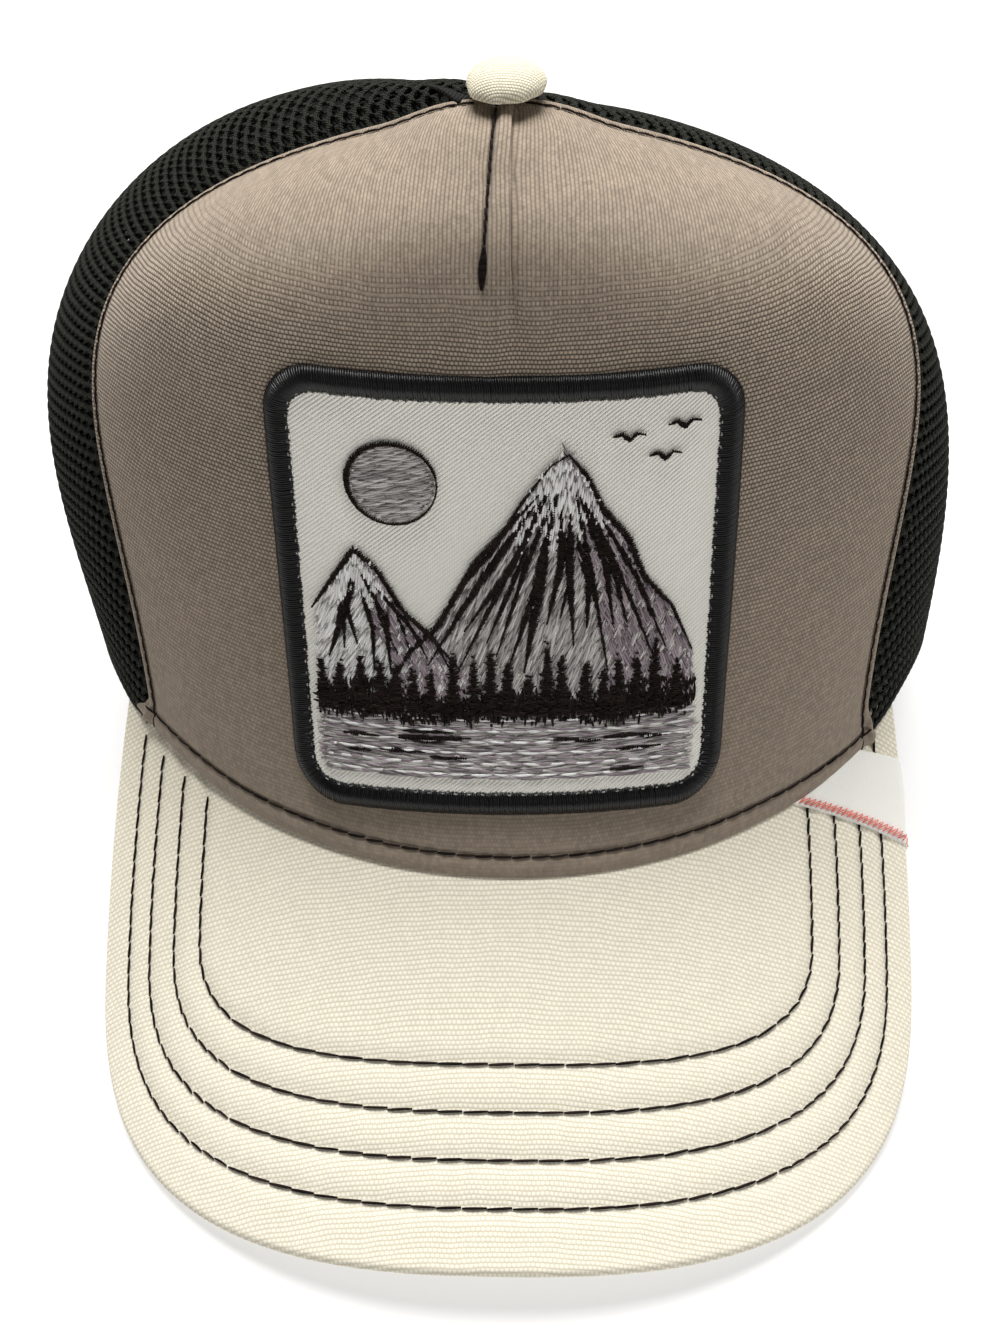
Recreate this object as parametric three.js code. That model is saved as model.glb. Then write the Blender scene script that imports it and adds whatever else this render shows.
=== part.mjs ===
// Trucker hat: a wide canvas front panel, four open mesh panels behind it and a curved peak.
// Millimetres, +Z up, front towards -Y. The hat rests as it does on a table, on the front
// corners of its peak and on its back rim, with its front tipped up.
// Angles round the crown are in degrees from the front, positive towards +X.
import * as THREE from 'three';
import { mergeVertices } from 'three/addons/utils/BufferGeometryUtils.js';

// Rim and top of the crown
const RIM_HALF_WIDTH = 85;
const RIM_FRONT = 86;
const RIM_BACK = 94;
const TOP_HEIGHT = 161.5;
const TOP_BACK = -11;
const TOP_HOLE = 4.2;
const TOP_DISC = 20;
const TOP_TILT = 18;

// How the cloth leaves the rim (length and lean of its handle) and how it reaches the top
// (reach of the handle there and its drop under the top), for three directions.
const PROFILE = {
  front: { rise: 103, lean: -35, reach: 50, drop: 0 },
  side: { rise: 106, lean: 3.3, reach: 56, drop: 17 },
  back: { rise: 50, lean: 0, reach: 20, drop: 28 },
};

// Slack of the mesh beside the front panel: how far it stands out, and over what angle.
const SLACK = { left: 9.8, right: 0, angle: 24, fadeAngle: 60 };

// Seams of the crown: the front panel's edge runs back as it climbs, and bows on its way.
const FRONT_SEAM = { rim: 52.9, top: 90, power: 1.12, bow: 10.8 };
const BACK_SEAM = { rim: 116, top: 135 };

// Peak: an arched sheet that droops forward from the rim
const PEAK_THICKNESS = 3;
const PEAK_CREST = 46.6;
const PEAK_DROOP = 31;
const PEAK_ARCH_RADIUS = 108;
const PEAK_END_ANGLE = 61;
const PEAK_HALF_WIDTH = 77.6;
const PEAK_FRONT = 146;
const PEAK_WIDEST = 87.8;
const PEAK_POWER = 2.28;
const RIM_FLAT_ANGLE = 116;

// Walls and gaps
const CANVAS = 2;
const MESH = 1.4;
const BAND = 1.5;
const GAP = 0.35;
const PEAK_STEP = 0.6;

// Patch on the front panel: a rounded square of twill inside a raised border. Its lower corners
// sag below the cloth's own lines.
const PATCH = {
  width: 80.7, height: 83.1, bottom: 12.1, aside: 0.7, corner: 9.6, taper: 2.2, sag: 3.3,
};
const PATCH_GROUND = 1;
const BORDER = { width: 4.7, height: 1.9 };

// Opening at the back, its tape, the band inside the rim and the strap
const OPENING = { halfWidth: 44, height: 46, halfLines: 10 };
const TAPE = { gap: 0.7, width: 5, proud: 0.5 };
const SWEATBAND = { low: 1, high: 31, end: 148 };
const STRAP = { low: 1.2, high: 18, end: 140, thickness: 1.6 };

// Button on the top, and the ribbon tag over the right edge of the peak
const BUTTON = {
  radius: 6.65, height: 6.1, rim: 1.8, aside: 1, forward: 0.6, raised: 1.25, tilt: 13,
  shankRadius: 1.4, shank: 4,
};
const TAG = {
  front: -66.8, back: -53.5, frontSlant: 0.085, backSlant: 0.22, clearance: 1.2, under: 9, thickness: 0.9,
};

const COLOURS = {
  canvas: 0x8d8272,
  mesh: 0x161513,
  peak: 0xe9e2cf,
  button: 0xe6dfca,
  twill: 0xf1efe9,
  thread: 0x121212,
  band: 0x1b1a18,
  plastic: 0x141414,
};

const degrees = THREE.MathUtils.degToRad;
const { lerp, clamp } = THREE.MathUtils;

function cubic(a, b, c, d, t) {
  const s = 1 - t;
  return a * s ** 3 + 3 * b * s * s * t + 3 * c * s * t * t + d * t ** 3;
}

function smooth(x) {
  const u = clamp(x, 0, 1);
  return u * u * (3 - 2 * u);
}

// Height of the peak's upper face over a point of the plan
function peakHeight(x, y) {
  const across = Math.min(Math.abs(x), PEAK_ARCH_RADIUS * 0.99);
  const arch = PEAK_ARCH_RADIUS - Math.sqrt(PEAK_ARCH_RADIUS ** 2 - across ** 2);
  return PEAK_CREST + (y + RIM_FRONT) * Math.tan(degrees(PEAK_DROOP)) - arch;
}

function rimPlan(angle) {
  const forward = Math.cos(degrees(angle));
  const depth = forward > 0 ? RIM_FRONT : RIM_BACK;
  return [RIM_HALF_WIDTH * Math.sin(degrees(angle)), -depth * forward];
}

// The rim lies on the peak in front and falls behind it, over the ears, to the table.
function rimHeight(angle) {
  const turn = Math.abs(angle);
  if (turn <= PEAK_END_ANGLE) return peakHeight(...rimPlan(turn)) + PEAK_STEP;
  const step = 0.01;
  const start = peakHeight(...rimPlan(PEAK_END_ANGLE)) + PEAK_STEP;
  const before = peakHeight(...rimPlan(PEAK_END_ANGLE - step)) + PEAK_STEP;
  const span = RIM_FLAT_ANGLE - PEAK_END_ANGLE;
  const slope = ((start - before) / step) * span;
  const u = clamp((turn - PEAK_END_ANGLE) / span, 0, 1);
  return (2 * u ** 3 - 3 * u * u + 1) * start + (u ** 3 - 2 * u * u + u) * slope;
}

function profileAt(angle, column) {
  const forward = Math.cos(degrees(angle));
  const end = forward > 0 ? PROFILE.front : PROFILE.back;
  return lerp(PROFILE.side[column], end[column], forward * forward);
}

function frontSeam(t) {
  const { rim, top, power, bow } = FRONT_SEAM;
  return rim + (top - rim) * t ** power + bow * Math.sin(Math.PI * t);
}

function backSeam(t) {
  return lerp(BACK_SEAM.rim, BACK_SEAM.top, t);
}

// The crown's outer face: t runs from the rim, 0, to the top, 1.
function crownPoint(angle, t) {
  const [rimX, rimY] = rimPlan(angle);
  const reach = Math.hypot(rimX, rimY - TOP_BACK);
  const outX = rimX / reach;
  const outY = (rimY - TOP_BACK) / reach;
  const rise = profileAt(angle, 'rise');
  const lean = degrees(profileAt(angle, 'lean'));
  const low = rimHeight(angle);
  const high = TOP_HEIGHT - profileAt(angle, 'drop');
  const radius = cubic(reach, reach + rise * Math.sin(lean), profileAt(angle, 'reach'), 0, t);
  const cloth = cubic(low, low + rise * Math.cos(lean), high, TOP_HEIGHT, t);
  const disc = TOP_HEIGHT - Math.tan(degrees(TOP_TILT)) * outY * radius;
  const height = lerp(cloth, disc, smooth(1 - radius / TOP_DISC));
  return new THREE.Vector3(outX * radius, TOP_BACK + outY * radius, height);
}

// The mesh stands a little out from the crown's form where it is slack.
function meshPoint(angle, t) {
  const point = crownPoint(angle, t);
  const turn = Math.abs(angle);
  const beyond = clamp((turn - frontSeam(t)) / SLACK.angle, 0, 1);
  const fade = smooth((180 - turn) / SLACK.fadeAngle);
  const amount = angle < 0 ? SLACK.left : SLACK.right;
  const out = amount * Math.sin((Math.PI / 2) * beyond) * fade * Math.sin(Math.PI * t ** 1.1);
  const [rimX, rimY] = rimPlan(angle);
  const reach = Math.hypot(rimX, rimY - TOP_BACK);
  const side = Math.cos((Math.PI / 2) * t);
  const up = Math.sin((Math.PI / 2) * t);
  const direction = new THREE.Vector3((rimX / reach) * side, ((rimY - TOP_BACK) / reach) * side, up);
  return point.addScaledVector(direction, out);
}

// A point under the outer face, measured square to it
function under(surface, angle, t, depth) {
  const step = 0.004;
  const point = surface(angle, t);
  const early = Math.max(t - step, 0);
  const climb = surface(angle, t + step).sub(surface(angle, early));
  const round = surface(angle + 0.4, t).sub(surface(angle - 0.4, t));
  const normal = round.cross(climb).normalize();
  return point.addScaledVector(normal, -depth);
}

// Where t is after a climb of a given length from the rim, at one angle
function climbTo(surface, angle, length) {
  const steps = 160;
  let travelled = 0;
  let last = surface(angle, 0);
  for (let i = 1; i <= steps; i += 1) {
    const next = surface(angle, i / steps);
    const piece = next.distanceTo(last);
    if (travelled + piece >= length) return (i - 1 + (length - travelled) / piece) / steps;
    travelled += piece;
    last = next;
  }
  return 1;
}

// The angle reached by going a given length round the crown from a middle angle
function roundTo(surface, middle, t, length) {
  const stride = 0.5 * Math.sign(length || 1);
  let travelled = 0;
  let angle = middle;
  let last = surface(angle, t);
  while (Math.abs(angle - middle) < 85) {
    const next = surface(angle + stride, t);
    const piece = next.distanceTo(last);
    if (travelled + piece >= Math.abs(length)) {
      return angle + (stride * (Math.abs(length) - travelled)) / piece;
    }
    travelled += piece;
    angle += stride;
    last = next;
  }
  return angle;
}

// Joins rows of points to triangles; closed rows meet their own start.
function stitch(triangles, first, second, closed = false) {
  const count = closed ? first.length : first.length - 1;
  for (let i = 0; i < count; i += 1) {
    const j = (i + 1) % first.length;
    triangles.push(first[i], first[j], second[j], first[i], second[j], second[i]);
  }
}

// One closed solid from triangles, turned so that its faces point out
function solid(triangles) {
  const positions = triangles.flatMap((point) => [point.x, point.y, point.z]);
  const soup = new THREE.BufferGeometry();
  soup.setAttribute('position', new THREE.Float32BufferAttribute(positions, 3));
  const geometry = mergeVertices(soup, 1e-4);
  let volume = 0;
  for (let i = 0; i < triangles.length; i += 3) {
    const [a, b, c] = triangles.slice(i, i + 3);
    volume += a.dot(b.clone().cross(c));
  }
  if (volume < 0) geometry.setIndex(Array.from(geometry.index.array).reverse());
  return geometry;
}

// A wall between two grids of points, with its four edges closed
function wall(outer, inner) {
  const triangles = [];
  const last = outer.length - 1;
  const end = outer[0].length - 1;
  for (let row = 0; row < last; row += 1) {
    stitch(triangles, outer[row], outer[row + 1]);
    stitch(triangles, inner[row + 1], inner[row]);
  }
  stitch(triangles, inner[0], outer[0]);
  stitch(triangles, outer[last], inner[last]);
  stitch(triangles, outer.map((row) => row[0]), inner.map((row) => row[0]));
  stitch(triangles, inner.map((row) => row[end]), outer.map((row) => row[end]));
  return solid(triangles);
}

// A ring swept round a closed row of sections
function ring(sections) {
  const triangles = [];
  sections.forEach((section, i) => {
    stitch(triangles, section, sections[(i + 1) % sections.length], true);
  });
  return solid(triangles);
}

function steps(count) {
  return Array.from({ length: count + 1 }, (_, i) => i / count);
}

// A crown panel: lines holds, for each line that climbs it, where the line starts above the rim
// and its angle at each t. Its edges keep half a gap to the seam, and the rim behind is cut
// level, because it lies on the table.
function panel(surface, lines, rows, thickness) {
  const grid = (depth) => steps(rows).map((v) => lines.map(({ start, angleAt, inset }) => {
    const reach = profileAt(angleAt(1), 'reach');
    const t = lerp(start, 1 - TOP_HOLE / (3 * reach), v);
    const angle = angleAt(t);
    const outer = surface(angle, t);
    const radius = Math.hypot(outer.x, outer.y - TOP_BACK);
    const nudge = THREE.MathUtils.radToDeg((inset * GAP) / 2 / radius);
    const point = under(surface, angle + nudge, t, depth);
    if (t === 0 && Math.abs(angle) >= RIM_FLAT_ANGLE) point.z = 0;
    return point;
  }));
  return wall(grid(0), grid(thickness));
}

function frontPanel() {
  const columns = 26;
  const lines = steps(columns).map((u) => ({
    start: 0,
    angleAt: (t) => lerp(-frontSeam(t), frontSeam(t), u),
    inset: u === 0 ? 1 : u === 1 ? -1 : 0,
  }));
  return panel(crownPoint, lines, 18, CANVAS);
}

function sideMesh(side) {
  const lines = steps(8).map((u) => ({
    start: 0,
    angleAt: (t) => side * lerp(frontSeam(t), backSeam(t), u),
    inset: side * (u === 0 ? 1 : u === 1 ? -1 : 0),
  }));
  return panel(meshPoint, lines, 14, MESH);
}

// A place on the back, from its distance beside the middle line and its height up the cloth
function backPlace(side, beside, up) {
  const t = climbTo(crownPoint, 180, up);
  return { t, angle: side * (180 - (roundTo(crownPoint, 180, t, beside) - 180)) };
}

function backMesh(side) {
  const solidLines = 4;
  const archLines = OPENING.halfLines;
  const lineThrough = (place, inset) => {
    const edge = backSeam(place.t);
    const share = (Math.abs(place.angle) - edge) / (180 - edge);
    return {
      start: place.t,
      angleAt: (t) => side * lerp(backSeam(t), 180, share),
      inset,
    };
  };
  const foot = backPlace(1, OPENING.halfWidth, 0);
  const lines = [];
  for (let i = 0; i < solidLines; i += 1) {
    const angle = lerp(BACK_SEAM.rim, foot.angle, i / solidLines);
    lines.push(lineThrough({ t: 0, angle }, i === 0 ? side : 0));
  }
  for (let i = 0; i <= archLines; i += 1) {
    const turn = degrees((90 * i) / archLines);
    const beside = OPENING.halfWidth * Math.cos(turn);
    const place = backPlace(1, beside, OPENING.height * Math.sin(turn));
    lines.push(lineThrough(place, i === archLines ? -side : 0));
  }
  return panel(meshPoint, lines, 12, MESH);
}

// The tape that binds the back opening, edge to edge with the mesh
function backBinding() {
  const turns = steps(2 * OPENING.halfLines).map((share) => Math.PI * share);
  const strip = (depth) => [TAPE.gap, TAPE.width].map((inward) => turns.map((turn) => {
    const beside = (OPENING.halfWidth - inward) * Math.cos(turn);
    const up = GAP + (OPENING.height - inward) * Math.sin(turn);
    const side = beside < 0 ? -1 : 1;
    const { angle, t } = backPlace(side, Math.abs(beside), up);
    return under(meshPoint, angle, t, depth);
  }));
  return wall(strip(-TAPE.proud), strip(MESH + TAPE.proud));
}

// A band along the rim, at a depth under the crown's face
function rimBand(from, to, low, high, depth, thickness, columns) {
  const grid = (deep) => steps(3).map((v) => steps(columns).map((u) => {
    const angle = lerp(from, to, u);
    const t = climbTo(crownPoint, angle, lerp(low, high, v));
    return under(crownPoint, angle, t, deep);
  }));
  return wall(grid(depth), grid(depth + thickness));
}

function sweatband() {
  const depth = CANVAS + GAP;
  return rimBand(-SWEATBAND.end, SWEATBAND.end, SWEATBAND.low, SWEATBAND.high, depth, BAND, 44);
}

function snapStrap() {
  const depth = CANVAS + GAP + BAND + 2 * GAP;
  return rimBand(STRAP.end, 360 - STRAP.end, STRAP.low, STRAP.high, depth, STRAP.thickness, 20);
}

// Half of the peak's outline in plan, from the middle of its front edge to its end at the rim
function peakOutline() {
  const points = [];
  for (const share of steps(40)) {
    const turn = (Math.PI / 2) * share;
    const power = 2 / PEAK_POWER;
    const forward = (PEAK_FRONT - PEAK_WIDEST) * Math.cos(turn) ** power;
    points.push(new THREE.Vector2(PEAK_HALF_WIDTH * Math.sin(turn) ** power, -PEAK_WIDEST - forward));
  }
  const [endX, endY] = rimPlan(PEAK_END_ANGLE);
  for (const u of steps(20).slice(1)) {
    const x = PEAK_HALF_WIDTH - (PEAK_HALF_WIDTH - endX) * u * u;
    points.push(new THREE.Vector2(x, lerp(-PEAK_WIDEST, endY, u)));
  }
  return points;
}

// Evenly spaced points along a row of points
function spaced(points, count) {
  const lengths = [0];
  for (let i = 1; i < points.length; i += 1) {
    lengths.push(lengths[i - 1] + points[i].distanceTo(points[i - 1]));
  }
  const total = lengths[lengths.length - 1];
  return steps(count).map((share) => {
    const target = share * total;
    const i = Math.max(1, lengths.findIndex((length) => length >= target - 1e-9));
    const part = (target - lengths[i - 1]) / (lengths[i] - lengths[i - 1]);
    return points[i - 1].clone().lerp(points[i], part);
  });
}

// A point of the peak, raised square to its upper face
function onPeak(x, y, raise) {
  const step = 0.2;
  const slopeX = (peakHeight(x + step, y) - peakHeight(x - step, y)) / (2 * step);
  const slopeY = (peakHeight(x, y + step) - peakHeight(x, y - step)) / (2 * step);
  const normal = new THREE.Vector3(-slopeX, -slopeY, 1).normalize();
  return new THREE.Vector3(x, y, peakHeight(x, y)).addScaledVector(normal, raise);
}

function peak() {
  const half = 14;
  const edge = spaced(peakOutline(), half);
  const rimTurns = steps(2 * half).map((share) => lerp(-PEAK_END_ANGLE, PEAK_END_ANGLE, share));
  const left = edge.slice(1).reverse().map((point) => new THREE.Vector2(-point.x, point.y));
  const outline = [...left, ...edge];
  // The last stretch beside the rim keeps a narrow end for the seam.
  const endTab = 3;
  const grid = (raise) => steps(8).map((v) => outline.map((point, i) => {
    const [rimX, rimY] = rimPlan(rimTurns[i]);
    const inner = new THREE.Vector2(rimX, rimY);
    const width = inner.distanceTo(point);
    const tip = width < endTab ? new THREE.Vector2(rimX, rimY).setLength(endTab - width) : null;
    const outer = tip ? point.clone().add(tip) : point;
    const x = lerp(inner.x, outer.x, v);
    const y = lerp(inner.y, outer.y, v);
    return onPeak(x, y, raise);
  }));
  return wall(grid(0), grid(-PEAK_THICKNESS));
}

// The patch's own plan: across from its middle, and up from its lower edge. It narrows a little
// towards the bottom. Lifted gives the point that far in front of the canvas.
function onPatch(across, up, lifted) {
  const share = up / PATCH.height;
  const narrowing = 1 - (PATCH.taper / PATCH.width) * (1 - share);
  const sag = PATCH.sag * (1 - share) * ((2 * across) / PATCH.width) ** 2;
  const t = climbTo(crownPoint, 0, PATCH.bottom + up - sag);
  const angle = roundTo(crownPoint, 0, t, PATCH.aside + across * narrowing);
  return under(crownPoint, angle, t, -lifted);
}

function patchGround() {
  const halfWidth = PATCH.width / 2 - BORDER.width - GAP;
  const low = BORDER.width + GAP;
  const high = PATCH.height - BORDER.width - GAP;
  const radius = PATCH.corner - BORDER.width;
  const grid = (lifted) => steps(12).map((v) => {
    const up = lerp(low, high, v);
    const toEdge = Math.min(up - low, high - up);
    const cut = Math.max(0, radius - toEdge);
    const inset = radius - Math.sqrt(radius ** 2 - cut ** 2);
    return steps(12).map((u) => onPatch(lerp(-halfWidth + inset, halfWidth - inset, u), up, lifted));
  });
  return wall(grid(GAP + PATCH_GROUND), grid(GAP));
}

// The border's middle line, as a rounded square, with the outward direction at each point
function borderLine() {
  const middle = BORDER.width / 2;
  const radius = PATCH.corner - middle;
  const halfX = PATCH.width / 2 - middle - radius;
  const lowY = middle + radius;
  const highY = PATCH.height - middle - radius;
  const corners = [
    { x: halfX, y: highY, from: 0 },
    { x: -halfX, y: highY, from: 90 },
    { x: -halfX, y: lowY, from: 180 },
    { x: halfX, y: lowY, from: 270 },
  ];
  const line = [];
  corners.forEach((corner, i) => {
    const next = corners[(i + 1) % corners.length];
    const turned = (degree) => new THREE.Vector2(Math.cos(degrees(degree)), Math.sin(degrees(degree)));
    for (const share of steps(3)) {
      const out = turned(corner.from + 90 * share);
      const at = new THREE.Vector2(corner.x, corner.y).addScaledVector(out, radius);
      line.push({ at, out });
    }
    const out = turned(corner.from + 90);
    const start = new THREE.Vector2(corner.x, corner.y).addScaledVector(out, radius);
    const end = new THREE.Vector2(next.x, next.y).addScaledVector(out, radius);
    for (const share of steps(9).slice(1, -1)) line.push({ at: start.clone().lerp(end, share), out });
  });
  return line;
}

function patchBorder() {
  const sections = borderLine().map(({ at, out }) => steps(6).map((share) => {
    const turn = Math.PI * share;
    const aside = (BORDER.width / 2) * Math.cos(turn);
    const place = at.clone().addScaledVector(out, aside);
    return onPatch(place.x, place.y, GAP + BORDER.height * Math.sin(turn));
  }));
  return ring(sections);
}

function button() {
  const { radius, height, rim, shankRadius, shank } = BUTTON;
  const dome = steps(8).map((share) => {
    const turn = (Math.PI / 2) * share;
    return new THREE.Vector2(radius * Math.cos(turn), rim + (height - rim) * Math.sin(turn));
  });
  const profile = [
    new THREE.Vector2(0, -shank),
    new THREE.Vector2(shankRadius, -shank),
    new THREE.Vector2(shankRadius, 0),
    new THREE.Vector2(radius - rim / 2, 0),
    ...dome.slice(0, -1),
    new THREE.Vector2(0, height),
  ];
  const geometry = new THREE.LatheGeometry(profile, 24);
  geometry.deleteAttribute('normal');
  geometry.deleteAttribute('uv');
  geometry.rotateX(Math.PI / 2);
  return mergeVertices(geometry, 1e-4);
}

// The ribbon lies on the peak from the crown's seam, turns over the edge and ends under it.
function sideTag() {
  const outline = peakOutline();
  const edgeAt = (y) => {
    const i = outline.findIndex((point) => point.y >= y);
    const part = (y - outline[i - 1].y) / (outline[i].y - outline[i - 1].y);
    return lerp(outline[i - 1].x, outline[i].x, part);
  };
  const rimAt = (y) => RIM_HALF_WIDTH * Math.sqrt(1 - (y / RIM_FRONT) ** 2);
  const path = (share, deep) => {
    const lift = GAP + deep;
    const start = lerp(TAG.front, TAG.back, share);
    const slant = lerp(TAG.frontSlant, TAG.backSlant, share);
    const inner = rimAt(start) + TAG.clearance;
    const end = start + slant * (edgeAt(start) - inner);
    const turn = edgeAt(end) + lift;
    const above = steps(4).map((u) => onPeak(lerp(inner, turn, u), lerp(start, end, u), lift));
    const below = steps(2).map((u) => {
      const back = TAG.under * u;
      return onPeak(turn - back, end - slant * back, -PEAK_THICKNESS - lift);
    });
    return [...above, ...below];
  };
  const grid = (deep) => steps(4).map((share) => path(share, deep));
  return wall(grid(TAG.thickness), grid(0));
}

function piece(name, geometry, colour, roughness) {
  const material = new THREE.MeshStandardMaterial({ color: colour, roughness, metalness: 0 });
  const mesh = new THREE.Mesh(geometry, material);
  mesh.name = name;
  return mesh;
}

const hat = new THREE.Group();
hat.add(
  piece('front_panel', frontPanel(), COLOURS.canvas, 0.9),
  piece('mesh_side_left', sideMesh(-1), COLOURS.mesh, 0.8),
  piece('mesh_side_right', sideMesh(1), COLOURS.mesh, 0.8),
  piece('mesh_back_left', backMesh(-1), COLOURS.mesh, 0.8),
  piece('mesh_back_right', backMesh(1), COLOURS.mesh, 0.8),
  piece('back_binding', backBinding(), COLOURS.band, 0.85),
  piece('peak', peak(), COLOURS.peak, 0.9),
  piece('patch_ground', patchGround(), COLOURS.twill, 0.85),
  piece('patch_border', patchBorder(), COLOURS.thread, 0.6),
  piece('side_tag', sideTag(), COLOURS.twill, 0.8),
  piece('sweatband', sweatband(), COLOURS.band, 0.9),
  piece('snap_strap', snapStrap(), COLOURS.plastic, 0.45),
);

const topButton = piece('button', button(), COLOURS.button, 0.9);
topButton.position.set(BUTTON.aside, TOP_BACK - BUTTON.forward, TOP_HEIGHT + BUTTON.raised);
topButton.rotation.x = -degrees(BUTTON.tilt);
hat.add(topButton);

// The origin is under the middle of the hat's box, at the height of the table.
const box = new THREE.Box3().setFromObject(hat, true);
const centre = box.getCenter(new THREE.Vector3());
hat.position.set(-centre.x, -centre.y, -box.min.z);

export default hat;
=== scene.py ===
import math
import bmesh
import bpy
import numpy as np
from mathutils import Matrix, Vector


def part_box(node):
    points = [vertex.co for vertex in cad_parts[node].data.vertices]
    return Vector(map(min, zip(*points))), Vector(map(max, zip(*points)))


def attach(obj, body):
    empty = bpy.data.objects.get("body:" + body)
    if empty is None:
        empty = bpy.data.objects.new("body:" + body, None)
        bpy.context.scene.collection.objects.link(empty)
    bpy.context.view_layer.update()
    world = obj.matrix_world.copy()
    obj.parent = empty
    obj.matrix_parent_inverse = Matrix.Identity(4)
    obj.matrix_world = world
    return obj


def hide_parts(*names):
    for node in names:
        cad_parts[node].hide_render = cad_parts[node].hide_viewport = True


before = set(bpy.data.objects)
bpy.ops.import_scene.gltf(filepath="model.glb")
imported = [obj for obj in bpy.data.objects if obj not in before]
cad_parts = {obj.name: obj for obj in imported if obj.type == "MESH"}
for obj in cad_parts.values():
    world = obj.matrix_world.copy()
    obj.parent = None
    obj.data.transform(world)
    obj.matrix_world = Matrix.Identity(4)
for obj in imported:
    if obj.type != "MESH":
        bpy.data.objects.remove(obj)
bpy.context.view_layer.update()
rng = np.random.default_rng(7)

# The hat is worked out in millimetres in its own frame, front towards -Y, as its construction
# is. Angles round the crown are in degrees from the front, positive towards +X.
MM = 0.001
RIM_HALF_WIDTH = 85.0
RIM_FRONT = 86.0
RIM_BACK = 94.0
RIM_FLAT_ANGLE = 116.0
TOP_HEIGHT = 161.5
TOP_BACK = -11.0
TOP_DISC = 20.0
TOP_TILT = 18.0
PROFILE = {
    "front": {"rise": 103, "lean": -35, "reach": 50, "drop": 0},
    "side": {"rise": 106, "lean": 3.3, "reach": 56, "drop": 17},
    "back": {"rise": 50, "lean": 0, "reach": 20, "drop": 28},
}
SLACK = {"left": 9.8, "right": 0.0, "angle": 24, "fade_angle": 60}
FRONT_SEAM = {"rim": 52.9, "top": 90, "power": 1.12, "bow": 10.8}
BACK_SEAM = {"rim": 116, "top": 135}

PEAK_THICKNESS = 3.0
PEAK_CREST = 46.6
PEAK_DROOP = 31.0
PEAK_ARCH_RADIUS = 108.0
PEAK_END_ANGLE = 61.0
PEAK_HALF_WIDTH = 77.6
PEAK_FRONT = 146.0
PEAK_WIDEST = 87.8
PEAK_POWER = 2.28
PEAK_STEP = 0.6
# Distances of the peak's rows of stitches from its edge, in front and at the sides
PEAK_ROWS = {"front": [10.2, 17.4, 24.6, 31.8], "side": [5.7, 10.2, 15.3, 20.6]}
# How far from the middle the rows of stitches change from those in front to those at the sides
PEAK_TURN = 50.0
# Share of the rim's plan to which the peak reaches inwards
PEAK_INSIDE = 0.95

CANVAS = 1.8
# Share of its height up to which a panel's cloth is made; the button covers the rest
PANEL_TOP = 0.985
PATCH = {"width": 80.7, "height": 83.1, "bottom": 12.1, "aside": 0.7, "corner": 9.6, "taper": 2.2,
         "sag": 3.3}
BORDER = {"width": 4.7, "height": 1.7, "seam": 1.85}
GROUND_LIFT = 1.0
OPENING = {"half_width": 44.0, "height": 46.0}
BUTTON = {"radius": 6.65, "height": 6.1, "rim": 1.8, "aside": 1.0, "forward": 0.6, "raised": 1.25,
          "tilt": 13.0}
TAG = {"front": -66.8, "back": -53.5, "front_slant": 0.085, "back_slant": 0.22, "clearance": -0.4,
       "under": 9.0, "thickness": 0.45, "lift": 0.1}

# The row frame puts the origin under the middle of the box; the peak shows where that is.
peak_low, peak_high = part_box("peak")
HAT_TO_ROW = np.array([
    (peak_low.x + peak_high.x) / 2 / MM,
    peak_low.y / MM + PEAK_FRONT,
    peak_high.z / MM - PEAK_CREST,
])


# The hat's form
def lerp(a, b, share):
    return a + (b - a) * share


def cubic(a, b, c, d, t):
    s = 1 - t
    return a * s**3 + 3 * b * s * s * t + 3 * c * s * t * t + d * t**3


def smooth(x):
    u = np.clip(x, 0, 1)
    return u * u * (3 - 2 * u)


def bump(x, middle, width):
    return np.exp(-(((x - middle) / width) ** 2))


def unit(vectors):
    return vectors / np.maximum(np.linalg.norm(vectors, axis=-1, keepdims=True), 1e-9)


def peak_height(x, y):
    across = np.minimum(np.abs(x), PEAK_ARCH_RADIUS * 0.99)
    arch = PEAK_ARCH_RADIUS - np.sqrt(PEAK_ARCH_RADIUS**2 - across**2)
    return PEAK_CREST + (y + RIM_FRONT) * math.tan(math.radians(PEAK_DROOP)) - arch


def rim_plan(angle):
    turn = np.radians(angle)
    depth = np.where(np.cos(turn) > 0, RIM_FRONT, RIM_BACK)
    return RIM_HALF_WIDTH * np.sin(turn), -depth * np.cos(turn)


def rim_height(angle):
    turn = np.abs(angle)
    step = 0.01
    in_front = peak_height(*rim_plan(turn)) + PEAK_STEP
    start = peak_height(*rim_plan(PEAK_END_ANGLE)) + PEAK_STEP
    before = peak_height(*rim_plan(PEAK_END_ANGLE - step)) + PEAK_STEP
    span = RIM_FLAT_ANGLE - PEAK_END_ANGLE
    slope = (start - before) / step * span
    u = np.clip((turn - PEAK_END_ANGLE) / span, 0, 1)
    behind = (2 * u**3 - 3 * u * u + 1) * start + (u**3 - 2 * u * u + u) * slope
    return np.where(turn <= PEAK_END_ANGLE, in_front, behind)


def profile_at(angle, column):
    forward = np.cos(np.radians(angle))
    end = np.where(forward > 0, PROFILE["front"][column], PROFILE["back"][column])
    return lerp(PROFILE["side"][column], end, forward * forward)


def front_seam(t):
    rise = (FRONT_SEAM["top"] - FRONT_SEAM["rim"]) * t ** FRONT_SEAM["power"]
    return FRONT_SEAM["rim"] + rise + FRONT_SEAM["bow"] * np.sin(np.pi * t)


def back_seam(t):
    return lerp(BACK_SEAM["rim"], BACK_SEAM["top"], t)


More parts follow.
